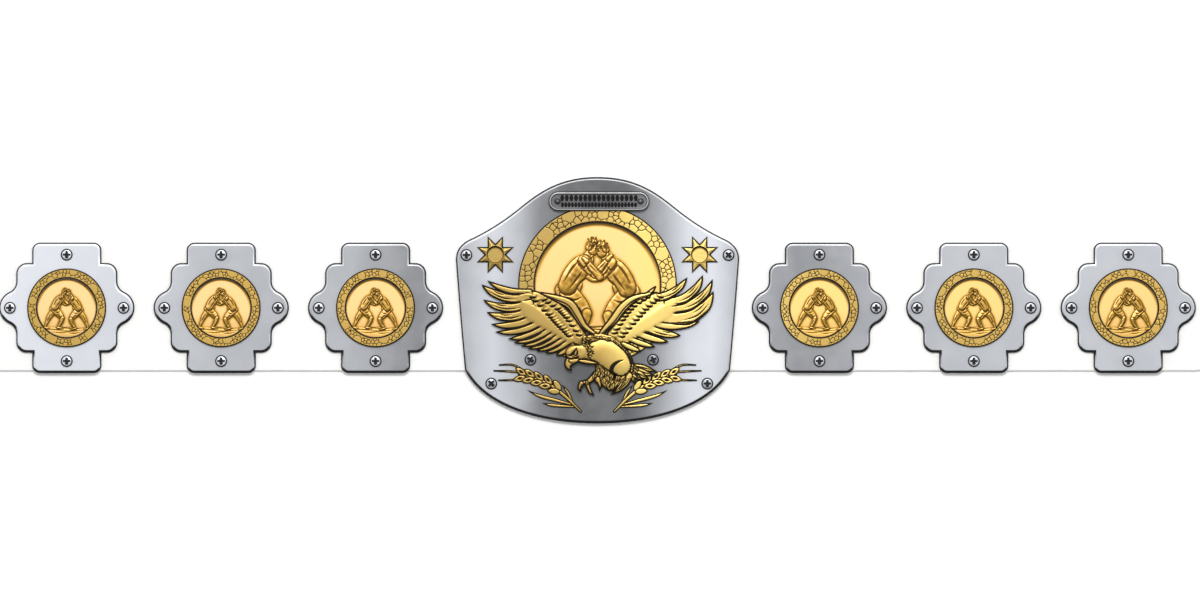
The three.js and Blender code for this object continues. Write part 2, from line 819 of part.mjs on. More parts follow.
const sidePlateGeometry = geometryOf(plateSolid(sideOutline(), sideScrews));
const sideRingGeometry = geometryOf(ringSolid(discDiameter, sideRingWidth, sideRingSides));
const sideDiscGeometry = geometryOf(discSolid(discDiameter, sideRingSides));
sidePlaces.forEach((x, i) => {
  const side = new THREE.Group();
  side.position.x = x;
  belt.add(side);
  place(`side_plate_${i + 1}`, sidePlateGeometry, silver, 0, 0, side);
  place(`side_ring_${i + 1}`, sideRingGeometry, gold, 0, 0, side);
  place(`side_medallion_${i + 1}`, sideDiscGeometry, gold, 0, 0, side);
  sideScrews.forEach((screw, k) => {
    place(`side_screw_${i + 1}_${k + 1}`, screwGeometry, silver, screw.x, screw.y, side);
  });
});

place("snap_studs", geometryOf(snapStudsSolid()), silver, -snapX, 0);
place("snap_sockets", geometryOf(snapSocketsSolid()), silver, snapX, 0);

export default belt;
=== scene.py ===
# A championship title belt laid out flat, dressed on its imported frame.
# Metres, in the frame's own axes: X along the belt, Y up the plates, Z up from the surface.
import math
import random

import bmesh
import bpy
import numpy as np
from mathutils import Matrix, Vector
from mathutils.geometry import tessellate_polygon


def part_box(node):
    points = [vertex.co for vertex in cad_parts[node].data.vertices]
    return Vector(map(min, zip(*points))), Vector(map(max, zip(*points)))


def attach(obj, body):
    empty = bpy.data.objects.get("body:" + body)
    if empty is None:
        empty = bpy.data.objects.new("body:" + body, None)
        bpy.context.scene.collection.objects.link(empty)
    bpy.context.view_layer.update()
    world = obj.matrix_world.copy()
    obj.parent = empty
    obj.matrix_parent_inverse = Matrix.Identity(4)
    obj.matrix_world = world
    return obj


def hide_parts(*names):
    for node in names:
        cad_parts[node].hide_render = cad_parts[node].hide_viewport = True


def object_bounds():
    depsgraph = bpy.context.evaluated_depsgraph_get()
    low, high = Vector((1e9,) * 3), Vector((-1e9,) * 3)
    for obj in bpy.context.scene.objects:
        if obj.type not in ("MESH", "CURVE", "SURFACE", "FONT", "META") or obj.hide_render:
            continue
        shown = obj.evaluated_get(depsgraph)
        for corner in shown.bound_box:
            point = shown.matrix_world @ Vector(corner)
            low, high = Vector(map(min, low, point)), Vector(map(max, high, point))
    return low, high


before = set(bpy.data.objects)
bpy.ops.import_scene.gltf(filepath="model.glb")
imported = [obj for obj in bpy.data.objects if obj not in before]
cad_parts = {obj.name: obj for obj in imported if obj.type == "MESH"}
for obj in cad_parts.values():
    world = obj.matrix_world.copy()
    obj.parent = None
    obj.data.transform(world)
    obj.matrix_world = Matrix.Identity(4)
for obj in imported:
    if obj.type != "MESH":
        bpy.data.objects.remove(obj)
cadLow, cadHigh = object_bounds()
mm = 0.001
body = "root"


def middleOf(node):
    low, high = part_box(node)
    return (low + high) / 2


beltLine = middleOf("side_plate_1").y
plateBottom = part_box("main_plate")[0].z
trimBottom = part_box("main_ring")[0].z
ringRise = 2.7  # mm from there to where the eagle and the nameplate pass over the ring
overBottom = trimBottom + ringRise * mm
sideCentres = [middleOf(f"side_plate_{i}").x for i in range(1, 7)]


# Shader maths: a socket that takes Python's own operators
class Flow:
    def __init__(self, shade, socket):
        self.shade = shade
        self.socket = socket

    def math(self, operation, other):
        return self.shade.add("ShaderNodeMath", {"operation": operation}, [self, other])

    def __add__(self, other):
        return self.math("ADD", other)

    def __radd__(self, other):
        return self.math("ADD", other)

    def __mul__(self, other):
        return self.math("MULTIPLY", other)

    def __rmul__(self, other):
        return self.math("MULTIPLY", other)

    def between(self, low, high):
        # 0 at low and 1 at high, with a smooth step from one to the other
        inputs = {"Value": self, "From Min": low, "From Max": high}
        return self.shade.add("ShaderNodeMapRange", {"interpolation_type": "SMOOTHSTEP"}, inputs)


# The nodes of a material or of the sky
class Shade:
    def __init__(self, owner, kind="Material", coordinate="Object"):
        owner.use_nodes = True
        self.owner = owner
        self.tree = owner.node_tree
        self.tree.nodes.clear()
        self.output = self.tree.nodes.new(f"ShaderNodeOutput{kind}")
        self.place = self.add("ShaderNodeTexCoord", output=coordinate)

    def feed(self, socket, value):
        if isinstance(value, Flow):
            self.tree.links.new(value.socket, socket)
        else:
            socket.default_value = value

    def add(self, kind, settings=None, inputs=None, output=0):
        node = self.tree.nodes.new(kind)
        for key, value in (settings or {}).items():
            if key == "stops":
                ramp = node.color_ramp
                while len(ramp.elements) < len(value):
                    ramp.elements.new(0.5)
                for element, (position, colour) in zip(ramp.elements, value):
                    element.position = position
                    element.color = colour
            else:
                setattr(node, key, value)
        pairs = inputs.items() if isinstance(inputs, dict) else enumerate(inputs or [])
        for key, value in pairs:
            self.feed(node.inputs[key], value)
        return Flow(self, node.outputs[output])

    def axis(self, name):
        return self.add("ShaderNodeSeparateXYZ", inputs=[self.place], output=name)

    def noise(self, scale, detail):
        inputs = {"Vector": self.place, "Scale": scale, "Detail": detail}
        return self.add("ShaderNodeTexNoise", inputs=inputs)

    def mix(self, factor, first, second):
        # Sockets 6 and 7 are the two colours, and output 2 is the mixed one
        inputs = {0: factor, 6: first, 7: second}
        return self.add("ShaderNodeMix", {"data_type": "RGBA"}, inputs, 2)

    def bump(self, height, distance, strength):
        inputs = {"Height": height, "Distance": distance, "Strength": strength}
        return self.add("ShaderNodeBump", inputs=inputs)

    def finish(self, inputs, kind="ShaderNodeBsdfPrincipled"):
        shader = self.add(kind, inputs=inputs)
        self.tree.links.new(shader.socket, self.output.inputs["Surface"])
        return self.owner


def ink(red, green, blue):
    # A tone as the eye reads it, turned into the linear values that sockets take
    tones = [c / 12.92 if c <= 0.04045 else ((c + 0.055) / 1.055) ** 2.4 for c in (red, green, blue)]
    return (*tones, 1)


white = (1, 1, 1, 1)


def newShade(name):
    return Shade(bpy.data.materials.new(name))


# Materials
beltReach = 520 * mm  # the colour bands run from here left of the middle to as far right

silverPaintedReflections = {  # place along the belt in mm, and how light the metal is painted there: painted reflection bands
    -520: 0.855, -417: 0.79, -380: 0.725, -345: 0.685, -285: 0.655, -240: 0.65, -213: 0.645, -153: 0.475,
    -121: 0.61, -111: 0.66, -104: 0.705, -88: 0.765, -66: 0.645, -50: 0.475, -32: 0.375, -18: 0.345,
    24: 0.34, 40: 0.435, 54: 0.575, 71: 0.73, 78: 0.79, 98: 0.815, 112: 0.73, 121: 0.64,
    171: 0.53, 235: 0.61, 303: 0.69, 365: 0.70, 435: 0.715, 520: 0.72,
}
# Gold tones along the belt with painted light and shade: darker on the left wing, lighter on the right wing
goldPaintedLight = {
    -520: (0.72, 0.595, 0.30), -200: (0.73, 0.60, 0.31), -110: (0.66, 0.56, 0.31),
    -20: (0.69, 0.575, 0.315), 6: (0.755, 0.635, 0.345), 38: (0.90, 0.795, 0.45),
    62: (0.90, 0.78, 0.45), 120: (0.87, 0.755, 0.44), 200: (0.73, 0.61, 0.32), 520: (0.77, 0.64, 0.34),
}


def alongBelt(shade, bands):
    stops = [(place * mm / beltReach / 2 + 0.5, ink(*tone)) for place, tone in bands.items()]
    place = shade.axis("X") * (0.5 / beltReach) + 0.5
    return shade.add("ShaderNodeValToRGB", {"stops": stops}, [place])


# The edge value of each point: below 0 a painted highlight; above 0 dark lines, patina in hollows, and
# painted shade and shadow
def edgeOf(shade):
    return shade.add("ShaderNodeAttribute", {"attribute_name": "edge"}, output="Fac")


silverLook = {
    "tint": (0.955, 0.97, 1.0), "line": (0.10, 0.10, 0.11), "cloud": 0.05, "shine": 0.55,
    "metallic": 0.45, "roughness": 0.30, "uneven": 0.08, "dullLine": 0.3, "grain": 0.02 * mm,
}


def platedSilver(name, tint=silverLook["tint"], bands=silverPaintedReflections):
    look = silverLook
    shade = newShade(name)
    metal = alongBelt(shade, {place: [paintedLight * t for t in tint] for place, paintedLight in bands.items()})
    edge = edgeOf(shade)
    metal = shade.mix(shade.noise(40, 2).between(0.35, 0.7) * look["cloud"], metal, white)
    # A painted highlight where the edge value is below 0; a dark line, with painted shade on the lower side,
    # where it is above 0
    paintedHighlight = shade.mix(edge.between(-0.2, -0.6) * look["shine"], metal, white)
    dull = shade.noise(90, 3) * look["uneven"] + edge.between(0.3, 1.0) * look["dullLine"]
    return shade.finish({
        "Base Color": shade.mix(edge.between(0.25, 0.8), paintedHighlight, ink(*look["line"])),
        "Metallic": look["metallic"],
        "Roughness": look["roughness"] + dull,
        "Normal": shade.bump(shade.noise(2500, 2), look["grain"], 0.25),
    })


goldLook = {
    "blotch": (0.62, 0.47, 0.20), "shine": (1.0, 0.93, 0.70), "warm": (0.50, 0.39, 0.17),
    "line": (0.13, 0.11, 0.06), "metallic": 0.75, "roughness": 0.34, "dullLine": 0.4,
    "grain": 0.015 * mm, "hammered": 0.195 * mm,
}


def goldCasting(name, grain=goldLook["grain"]):
    look = goldLook
    shade = newShade(name)
    metal = alongBelt(shade, goldPaintedLight)
    edge = edgeOf(shade)
    metal = shade.mix(shade.noise(260, 3).between(0.35, 0.8) * 0.14, metal, ink(*look["blotch"]))
    # A painted highlight where the edge value is below 0; warmer brown and then a dark line above 0, from
    # patina in hollows and painted shade
    metal = shade.mix(edge.between(-0.05, -0.5) * 0.45, metal, ink(*look["shine"]))
    warm = shade.mix(edge.between(0.05, 0.5), metal, ink(*look["warm"]))
    return shade.finish({
        "Base Color": shade.mix(edge.between(0.42, 0.88), warm, ink(*look["line"])),
        "Metallic": look["metallic"],
        "Roughness": look["roughness"] + edge.between(0.2, 1.0) * look["dullLine"],
        "Normal": shade.bump(shade.noise(420, 2), grain, 0.4),
    })


discBands = {
    -520: (0.92, 0.765, 0.53), -60: (0.95, 0.74, 0.485), 20: (0.955, 0.755, 0.49),
    60: (0.945, 0.785, 0.44), 120: (0.94, 0.77, 0.46), 520: (0.94, 0.755, 0.48),
}
discLook = {
    "shine": (1.0, 0.95, 0.74), "soft": (0.70, 0.54, 0.20), "deep": (0.36, 0.25, 0.04),
    "line": (0.14, 0.11, 0.05), "metallic": 0.7, "roughness": 0.36, "uneven": 0.08, "grain": 0.03 * mm,
}


def goldDisc():
    look = discLook
    shade = newShade("goldDisc")
    metal = alongBelt(shade, discBands)
    edge = edgeOf(shade)
    # A painted highlight where the edge value is below 0; soft and deep brown above 0, which carries painted
    # light and shade as well as patina
    metal = shade.mix(edge.between(-0.05, -0.5) * 0.6, metal, ink(*look["shine"]))
    soft = shade.mix(edge.between(0.0, 0.45), metal, ink(*look["soft"]))
    deep = shade.mix(edge.between(0.35, 0.9), soft, ink(*look["deep"]))
    grain = shade.noise(1500, 2)
    return shade.finish({
        "Base Color": shade.mix(edge.between(0.95, 1.2), deep, ink(*look["line"])),
        "Metallic": look["metallic"],
        "Roughness": look["roughness"] + grain * look["uneven"],
        "Normal": shade.bump(grain, look["grain"], 0.4),
    })


leatherLook = {
    "pale": (0.93, 0.93, 0.925), "creased": (0.895, 0.895, 0.89), "pores": 700, "creases": 60,
    "roughness": 0.52, "uneven": 0.12, "grain": 0.08 * mm,
}


def whiteLeather():
    look = leatherLook
    shade = newShade("whiteLeather")
    inputs = {"Vector": shade.place, "Scale": look["pores"]}
    pores = shade.add("ShaderNodeTexVoronoi", {"feature": "DISTANCE_TO_EDGE"}, inputs)
    crease = shade.noise(look["creases"], 4)
    return shade.finish({
        "Base Color": shade.mix(crease.between(0.3, 0.8) * 0.5, ink(*look["pale"]), ink(*look["creased"])),
        "Metallic": 0.0,
        "Roughness": look["roughness"] + crease * look["uneven"],
        "Normal": shade.bump(pores.between(0.0, 0.12) + crease, look["grain"], 0.6),
    })


enamelLook = {"dark": (0.03, 0.03, 0.03), "specks": (0.08, 0.08, 0.09), "shine": 0.15, "roughness": 0.6}


def darkEnamel():
    look = enamelLook
    shade = newShade("darkEnamel")
    speck = shade.noise(900, 3)
    return shade.finish({
        "Base Color": shade.mix(speck * 0.3, ink(*look["dark"]), ink(*look["specks"])),
        "Metallic": 0.0,
        "Specular IOR Level": look["shine"],
        "Roughness": look["roughness"] + speck * 0.1,
    })


def paleFloor():
    shade = newShade("paleFloor")
    colour = shade.mix(shade.noise(3, 2) * 0.2, (0.93, 0.93, 0.93, 1), (0.90, 0.90, 0.90, 1))
    return shade.finish({"Base Color": colour, "Roughness": 0.9})


# How light the screw heads are painted along the belt: darker in the middle as painted reflection, following
# the plates
screwPaintedReflections = {-520: 0.84, -170: 0.80, -115: 0.75, -60: 0.50, 60: 0.50, 115: 0.75, 170: 0.76, 520: 0.82}
silver = platedSilver("platedSilver")
barSilver = platedSilver("barSilver", tint=(0.75, 0.75, 0.78))
screwSteel = platedSilver("screwSteel", bands=screwPaintedReflections)
gold = goldCasting("goldCasting")
hammeredGold = goldCasting("hammeredGold", goldLook["hammered"])
discGold = goldDisc()
leather = whiteLeather()
enamel = darkEnamel()
print("materials made")


# Meshes are gathered in a shell: points, faces and how dark each point's edge is, with painted shade above 0
# and a painted highlight below 0
weld = {"points": 0.002 * mm, "slivers": 0.001 * mm, "corners": 0.01 * mm}  # closer ones are merged


class Shell:
    def __init__(self):
        self.points = []
        self.faces = []
        self.edges = []

    def add(self, points, faces, edges):
        start = len(self.points)
        self.points += [tuple(p) for p in points]
        self.faces += [tuple(start + i for i in face) for face in faces]
        self.edges += list(edges)

    def piece(self, name, material, sharp=35):
        mesh = bpy.data.meshes.new(name)
        mesh.from_pydata(self.points, [], self.faces)
        mesh.attributes.new("edge", "FLOAT", "POINT").data.foreach_set("value", self.edges)
        made = bmesh.new()
        made.from_mesh(mesh)
        bmesh.ops.remove_doubles(made, verts=made.verts, dist=weld["points"])
        bmesh.ops.dissolve_degenerate(made, edges=made.edges, dist=weld["slivers"])
        bmesh.ops.recalc_face_normals(made, faces=made.faces)
        for face in made.faces:
            face.smooth = True
        for edge in made.edges:
            edge.smooth = len(edge.link_faces) == 2 and edge.calc_face_angle(0) < math.radians(sharp)
        made.to_mesh(mesh)
        made.free()
        mesh.materials.append(material)
        result = bpy.data.objects.new(name, mesh)
        bpy.context.collection.objects.link(result)
        return result


def dress(piece, slot, *nodes):
    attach(piece, body)
    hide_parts(*nodes)


def arc(x, y, radius, start, end, steps):
    angles = [start + (end - start) * i / steps for i in range(steps + 1)]
    return [(x + radius * math.cos(a), y + radius * math.sin(a)) for a in angles]


def circle(x, y, radius, steps):
    return arc(x, y, radius, 0, math.tau, steps)[:-1]


def tidyLoop(points):
    kept = []
    for p in points:
        if not kept or math.dist(p, kept[-1]) > weld["corners"]:
            kept.append(p)
    return kept if math.dist(kept[0], kept[-1]) > weld["corners"] else kept[:-1]


def inset(points, depth):
    # Each corner moves in along its mitre, on a loop that runs anticlockwise
    moved = []
    for i, point in enumerate(points):
        before = Vector(points[i - 1])
        here = Vector(point)
        after = Vector(points[(i + 1) % len(points)])
        first = (here - before).normalized()
        second = (after - here).normalized()
        normal = Vector((-first.y - second.y, first.x + second.x)).normalized()
        half = max(0.4, normal.dot(Vector((-first.y, first.x))))
        moved.append(tuple(here + normal * depth / half))
    return moved


def bandFaces(start, count, rings):
    # Four-sided faces between rings of points that follow one another
    faces = []
    for k in range(rings - 1):
        here = start + k * count
        for i in range(count):
            j = (i + 1) % count
            faces.append((here + i, here + j, here + count + j, here + count + i))
    return faces


def capFaces(points, rings):
    # Triangles that fill the first ring, with the other rings as its holes
    order = [i for ring in rings for i in ring]
    polygons = [[Vector(points[i]) for i in ring] for ring in rings]
    return [tuple(order[i] for i in triangle) for triangle in tessellate_polygon(polygons)]


def rimsFrom(level, rows):
    # Rows of inset, height and edge in mm, as metres from a level up
    return [(depth * mm, level + height * mm, *shades) for depth, height, *shades in rows]


def addSlab(shell, outline, rims, holes=()):
    # rims: rows of inset, level and edge, and another edge, a darker painted shade, for the side that looks
    # down
    loops = [[(x, y, rim[1]) for x, y in inset(outline, rim[0])] for rim in rims]
    count = len(outline)
    points = [p for loop in loops for p in loop]
    # How much each corner looks down the picture, from 0 to 1, which sets how much painted shade its edge
    # takes
    lower = [min(max((b[1] - a[1]) / mm - 0.05, 0) / 0.6, 1) for a, b in zip(outline, inset(outline, mm))]
    edges = [rim[2] + (rim[-1] - rim[2]) * w * (len(rim) > 3) for rim in rims for w in lower]
    faces = bandFaces(0, count, len(loops))
    lowRings = [list(range(count))]
    highRings = [list(range(len(points) - count, len(points)))]
    for hole in holes:
        start, size = len(points), len(hole)
        points += [(x, y, level) for level in (rims[0][1], rims[-1][1]) for x, y in hole]
        edges += [0.0] * (2 * size)
        faces += bandFaces(start, size, 2)
        lowRings.append(list(range(start, start + size)))
        highRings.append(list(range(start + size, start + 2 * size)))
    faces += capFaces(points, lowRings) + capFaces(points, highRings)
    shell.add(points, faces, edges)


def lathe(shell, x, y, rows, steps):
    # rows: radius, level and edge, from the axis round to the axis
    points, edges = [], []
    for radius, level, edge in rows:
        points += [(a, b, level) for a, b in circle(x, y, radius, steps)]
        edges += [edge] * steps
    shell.add(points, bandFaces(0, steps, len(rows)), edges)


# Smooth bands: a row for each section of a feather, limb, leaf or stem
def spline(values, t):
    along = min(t, 0.99999) * (len(values) - 1)
    i = int(along)
    w = along - i
    a = values[max(i - 1, 0)]
    b = values[i]
    c = values[i + 1]
    d = values[min(i + 2, len(values) - 1)]
    first = (c - a) * 0.5
    last = (d - b) * 0.5
    return ((2 * b - 2 * c + first + last) * w + (-3 * b + 3 * c - 2 * first - last)) * w * w + first * w + b


def smoothRows(rows, scale, origin, steps):
    # Samples of a band's middle line and half width, in metres
    columns = [[row[k] for row in rows] for k in range(3)]
    samples = np.array([[spline(column, s / steps) for column in columns] for s in range(steps + 1)]) * scale
    samples[:, 0] += origin[0]
    samples[:, 1] += origin[1]
    samples[:, 2] = np.maximum(samples[:, 2], 0.0)
    return samples


def smooth(values, low, high):
    t = np.clip((values - low) / (high - low), 0, 1)
    return t * t * (3 - 2 * t)


def blurred(field, reach):
    # Box blur, run twice each way
    for axis in (0, 1, 0, 1):
        padded = np.pad(field, [(reach + 1, reach) if axis == k else (0, 0) for k in (0, 1)], mode="edge")
        total = np.cumsum(padded, axis=axis)
        upper = np.take(total, range(2 * reach + 1, total.shape[axis]), axis=axis)
        lower = np.take(total, range(0, total.shape[axis] - 2 * reach - 1), axis=axis)
        field = (upper - lower) / (2 * reach + 1)
    return field


# Cast relief: forms painted one over another on a fine grid, then cut out along their outline
castLook = {
    "hollowDark": 0.5, "hollowReach": 3, "hollowDeep": 0.3 * mm, "haloOuter": 1.3 * mm, "haloInner": 0.5 * mm,
}


class Relief:
    def __init__(self, low, high, step):
        self.xs = np.arange(low[0], high[0] + step, step)
        self.ys = np.arange(low[1], high[1] + step, step)
        self.x, self.y = np.meshgrid(self.xs, self.ys)
        self.step = step
        self.inside = np.full(self.x.shape, -1.0)
        self.height = np.zeros(self.x.shape)
        self.edge = np.zeros(self.x.shape)

    def depth(self, points, margin):
        # How far inside a run of tapered links each grid point lies
        reach = points[:, 2].max() + margin
        low = points[:, :2].min(axis=0) - reach
        high = points[:, :2].max(axis=0) + reach
        columns = np.searchsorted(self.xs, (low[0], high[0]))
        rows = np.searchsorted(self.ys, (low[1], high[1]))
        part = slice(*rows), slice(*columns)
        x, y = self.x[part], self.y[part]
        best = np.full(x.shape, -1.0)
        for (ax, ay, ar), (bx, by, br) in zip(points, points[1:]):
            dx, dy = bx - ax, by - ay
            t = np.clip(((x - ax) * dx + (y - ay) * dy) / (dx * dx + dy * dy + 1e-15), 0, 1)
            best = np.maximum(best, ar + (br - ar) * t - np.hypot(x - ax - dx * t, y - ay - dy * t))
        return part, best

    def paint(self, points, low, rise, shoulder, line=0.0, dark=1.0, fade=0.0):
        part, depth = self.depth(points, 1 * mm)
        cover = (depth > 0) * 1.0
        if fade:
            cover = np.where(self.inside[part] > 0, smooth(depth, 0, fade), cover)
        t = np.clip(depth / shoulder, 0, 1)
        dome = low + rise * np.sqrt(2 * t - t * t)
        border = dark * (1 - smooth(depth, line * 0.55, line)) if line else 0.0
        self.height[part] += (dome - self.height[part]) * cover
        self.edge[part] += (border - self.edge[part]) * cover
        self.inside[part] = np.maximum(self.inside[part], depth)

    def stroke(self, points, deep, dark=1.0, soft=0.3 * mm, paintedLight=0.0):
        part, depth = self.depth(points, 1.5 * mm)
        cover = smooth(depth, -soft, soft)
        # A painted highlight in a band beside each dark stroke
        outer, inner = castLook["haloOuter"], castLook["haloInner"]
        paintedHalo = smooth(depth, -outer, -inner) * (1 - smooth(depth, -inner, 0)) * (self.edge[part] < 0.25)
        self.height[part] -= deep * cover
        self.edge[part] = np.maximum(self.edge[part] - paintedLight * paintedHalo, dark * cover)

    def finish(self, line, drop=0.5 * mm):
        # Darker hollows, a dark outline and a rounded rim
        hollow = (blurred(self.height, castLook["hollowReach"]) - self.height) / castLook["hollowDeep"]
        self.edge = np.clip(self.edge + castLook["hollowDark"] * np.clip(hollow, -0.4, 1), -0.6, 1)
        self.edge = np.maximum(self.edge, 1.1 - smooth(self.inside, line * 0.6, line))
        self.height -= drop * (1 - smooth(self.inside, 0, line * 1.2))

    def cutOut(self, shell, bottom):
        within = self.inside > 0
        index = np.full(self.x.shape, -1)
        index[within] = np.arange(within.sum())
        points = list(zip(*(values[within].tolist() for values in (self.x, self.y, self.height))))
        edges = self.edge[within].tolist()
        solid = within.astype(int)
        count = solid[:-1, :-1] + solid[1:, :-1] + solid[:-1, 1:] + solid[1:, 1:]
        j, i = np.nonzero(count == 4)
        corners = [(0, 0), (0, 1), (1, 1), (1, 0)]
        faces = np.stack([index[j + down, i + along] for down, along in corners], axis=1).tolist()
        # The squares that the outline cuts: a point where it crosses a side, and which point follows it
        crossings, follow = {}, {}
        for j, i in zip(*(part.tolist() for part in np.nonzero((count > 0) & (count < 4)))):
            polygon, first, last = [], None, None
            for k in range(4):
                a = (j + corners[k][0], i + corners[k][1])
                b = (j + corners[(k + 1) % 4][0], i + corners[(k + 1) % 4][1])
                if within[a]:
                    polygon.append(int(index[a]))
                if within[a] == within[b]:
                    continue
                key = (min(a, b), max(a, b))
                if key not in crossings:
                    t = min(max(self.inside[a] / (self.inside[a] - self.inside[b]), 0.06), 0.94)
                    inner = a if within[a] else b
                    crossings[key] = len(points)
                    x, y = (float(axis[a] + (axis[b] - axis[a]) * t) for axis in (self.x, self.y))
                    points.append((x, y, float(self.height[inner])))
                    edges.append(1.0)
                here = crossings[key]
                polygon.append(here)
                if within[a]:
                    last = here
                elif last is None:
                    first = here
                else:
                    follow[last] = here
                    last = None
            if first is not None:
                follow[last] = first
            faces.append(polygon)
        # The wall down to the bottom, and the bottom
        lowOf = {}
        for here in follow:
            lowOf[here] = len(points)
            points.append((points[here][0], points[here][1], bottom))
            edges.append(1.0)
        faces += [(after, here, lowOf[here], lowOf[after]) for here, after in follow.items()]
        loops, left = [], dict(follow)
        while left:
            start, here = left.popitem()
            loop = [start]
            while here != start:
                loop.append(here)
                here = left.pop(here)
            loops.append(loop)
        faces += capFaces(points, [[lowOf[here] for here in loop] for loop in loops])
        shell.add(points, faces, edges)


def squareRelief(centre, reach, step):
    low, high = (centre.x - reach, centre.y - reach), (centre.x + reach, centre.y + reach)
    return Relief(low, high, step)


def makeCasting(relief, name, material, slot, node, bottom=trimBottom, sharp=75):
    shell = Shell()
    relief.cutOut(shell, bottom)
    dress(shell.piece(name, material, sharp), slot, node)


# Copies of one shape on points, through Geometry Nodes
def copiesTree(material):
    tree = bpy.data.node_groups.new("copiesOnPoints", "GeometryNodeTree")
    tree.interface.new_socket("Geometry", in_out="INPUT", socket_type="NodeSocketGeometry")
    tree.interface.new_socket("Shape", in_out="INPUT", socket_type="NodeSocketObject")
    tree.interface.new_socket("Size", in_out="INPUT", socket_type="NodeSocketFloat")
    tree.interface.new_socket("Geometry", in_out="OUTPUT", socket_type="NodeSocketGeometry")
    new = tree.nodes.new
    link = tree.links.new
    start, end = new("NodeGroupInput"), new("NodeGroupOutput")
    shape = new("GeometryNodeObjectInfo")
    turn, size = new("GeometryNodeInputNamedAttribute"), new("GeometryNodeInputNamedAttribute")
    turn.data_type = size.data_type = "FLOAT"
    turn.inputs["Name"].default_value = "turn"
    size.inputs["Name"].default_value = "size"
    euler = new("ShaderNodeCombineXYZ")
    rotation = new("FunctionNodeEulerToRotation")
    scale = new("ShaderNodeMath")
    scale.operation = "MULTIPLY"
    copies = new("GeometryNodeInstanceOnPoints")
    real = new("GeometryNodeRealizeInstances")
    paint = new("GeometryNodeSetMaterial")
    paint.inputs["Material"].default_value = material
    link(start.outputs["Shape"], shape.inputs["Object"])
    link(turn.outputs["Attribute"], euler.inputs["Z"])
    link(euler.outputs[0], rotation.inputs[0])
    link(size.outputs["Attribute"], scale.inputs[0])
    link(start.outputs["Size"], scale.inputs[1])
    link(start.outputs["Geometry"], copies.inputs["Points"])
    link(shape.outputs["Geometry"], copies.inputs["Instance"])
    link(rotation.outputs[0], copies.inputs["Rotation"])
    link(scale.outputs[0], copies.inputs["Scale"])
    link(copies.outputs[0], real.inputs[0])
    link(real.outputs[0], paint.inputs["Geometry"])
    link(paint.outputs[0], end.inputs[0])
    return tree


def copyOnPoints(name, shape, places, material):
    # places: rows of x, y, z, turn and size
    mesh = bpy.data.meshes.new(name + "Points")
    mesh.from_pydata([p[:3] for p in places], [], [])
    mesh.attributes.new("turn", "FLOAT", "POINT").data.foreach_set("value", [p[3] for p in places])
    mesh.attributes.new("size", "FLOAT", "POINT").data.foreach_set("value", [p[4] for p in places])
    points = bpy.data.objects.new(name + "Points", mesh)
    bpy.context.collection.objects.link(points)
    modifier = points.modifiers.new("copies", "NODES")
    modifier.node_group = copiesTree(material)
    sockets = modifier.node_group.interface.items_tree
    inputs = {item.name: item.identifier for item in sockets if item.in_out == "INPUT"}
    modifier[inputs["Shape"]] = shape
    modifier[inputs["Size"]] = 1.0  # for all copies, on top of the sizes in their rows
    seen = points.evaluated_get(bpy.context.evaluated_depsgraph_get())
    made = bpy.data.meshes.new_from_object(seen)
    made.name = name
    points.modifiers.remove(modifier)
    result = bpy.data.objects.new(name, made)
    bpy.context.collection.objects.link(result)
    bpy.data.objects.remove(points)
    bpy.data.objects.remove(shape)
    return result


# Outlines of the plates, kept the same as the frame's
mainSize = {"half": 121.7 * mm, "rise": 112.5 * mm, "drop": 99.4 * mm}
mainEdge = [  # two handles and an end for each curve, as shares of the half width and the rise or drop
    (0.25, 1, 0.394, 0.901, 0.534, 0.778, 18),
    (0.657, 0.668, 0.772, 0.588, 0.904, 0.522, 16),
    (0.957, 0.494, 1, 0.449, 1, 0.369, 12),
    (0.979, 0.05, 0.957, -0.25, 0.936, -0.538, 6),
    (0.822, -0.825, 0.46, -1, 0, -1, 30),
]


def mainOutline(depth=0.0):
    wide = mainSize["half"] - depth

    def spot(x, y):
        return Vector((x * wide, y * ((mainSize["rise"] if y > 0 else mainSize["drop"]) - depth)))

    start = spot(0, 1)
    right = [start]
    for ax, ay, bx, by, x, y, steps in mainEdge:
        a, b, end = spot(ax, ay), spot(bx, by), spot(x, y)
        for i in range(1, steps + 1):
            t = i / steps
            s = 1 - t
            right.append(s ** 3 * start + 3 * s * s * t * a + 3 * s * t * t * b + t ** 3 * end)
        start = end
    left = [Vector((-p.x, p.y)) for p in right[1:-1]]
    loop = [*right, *reversed(left)]
    return tidyLoop([(p.x, p.y + beltLine) for p in reversed(loop)])


sideSize = {
    "lobeReach": 58.1 * mm, "lobeRadius": 15 * mm, "lobeFillet": 10 * mm, "shoulderHalf": 43.4 * mm,
    "shoulderHeight": 38.5 * mm, "shoulderRadius": 9 * mm, "tabHalf": 29.7 * mm,
    "tabHeight": 56.1 * mm, "tabRadius": 6.5 * mm,
}


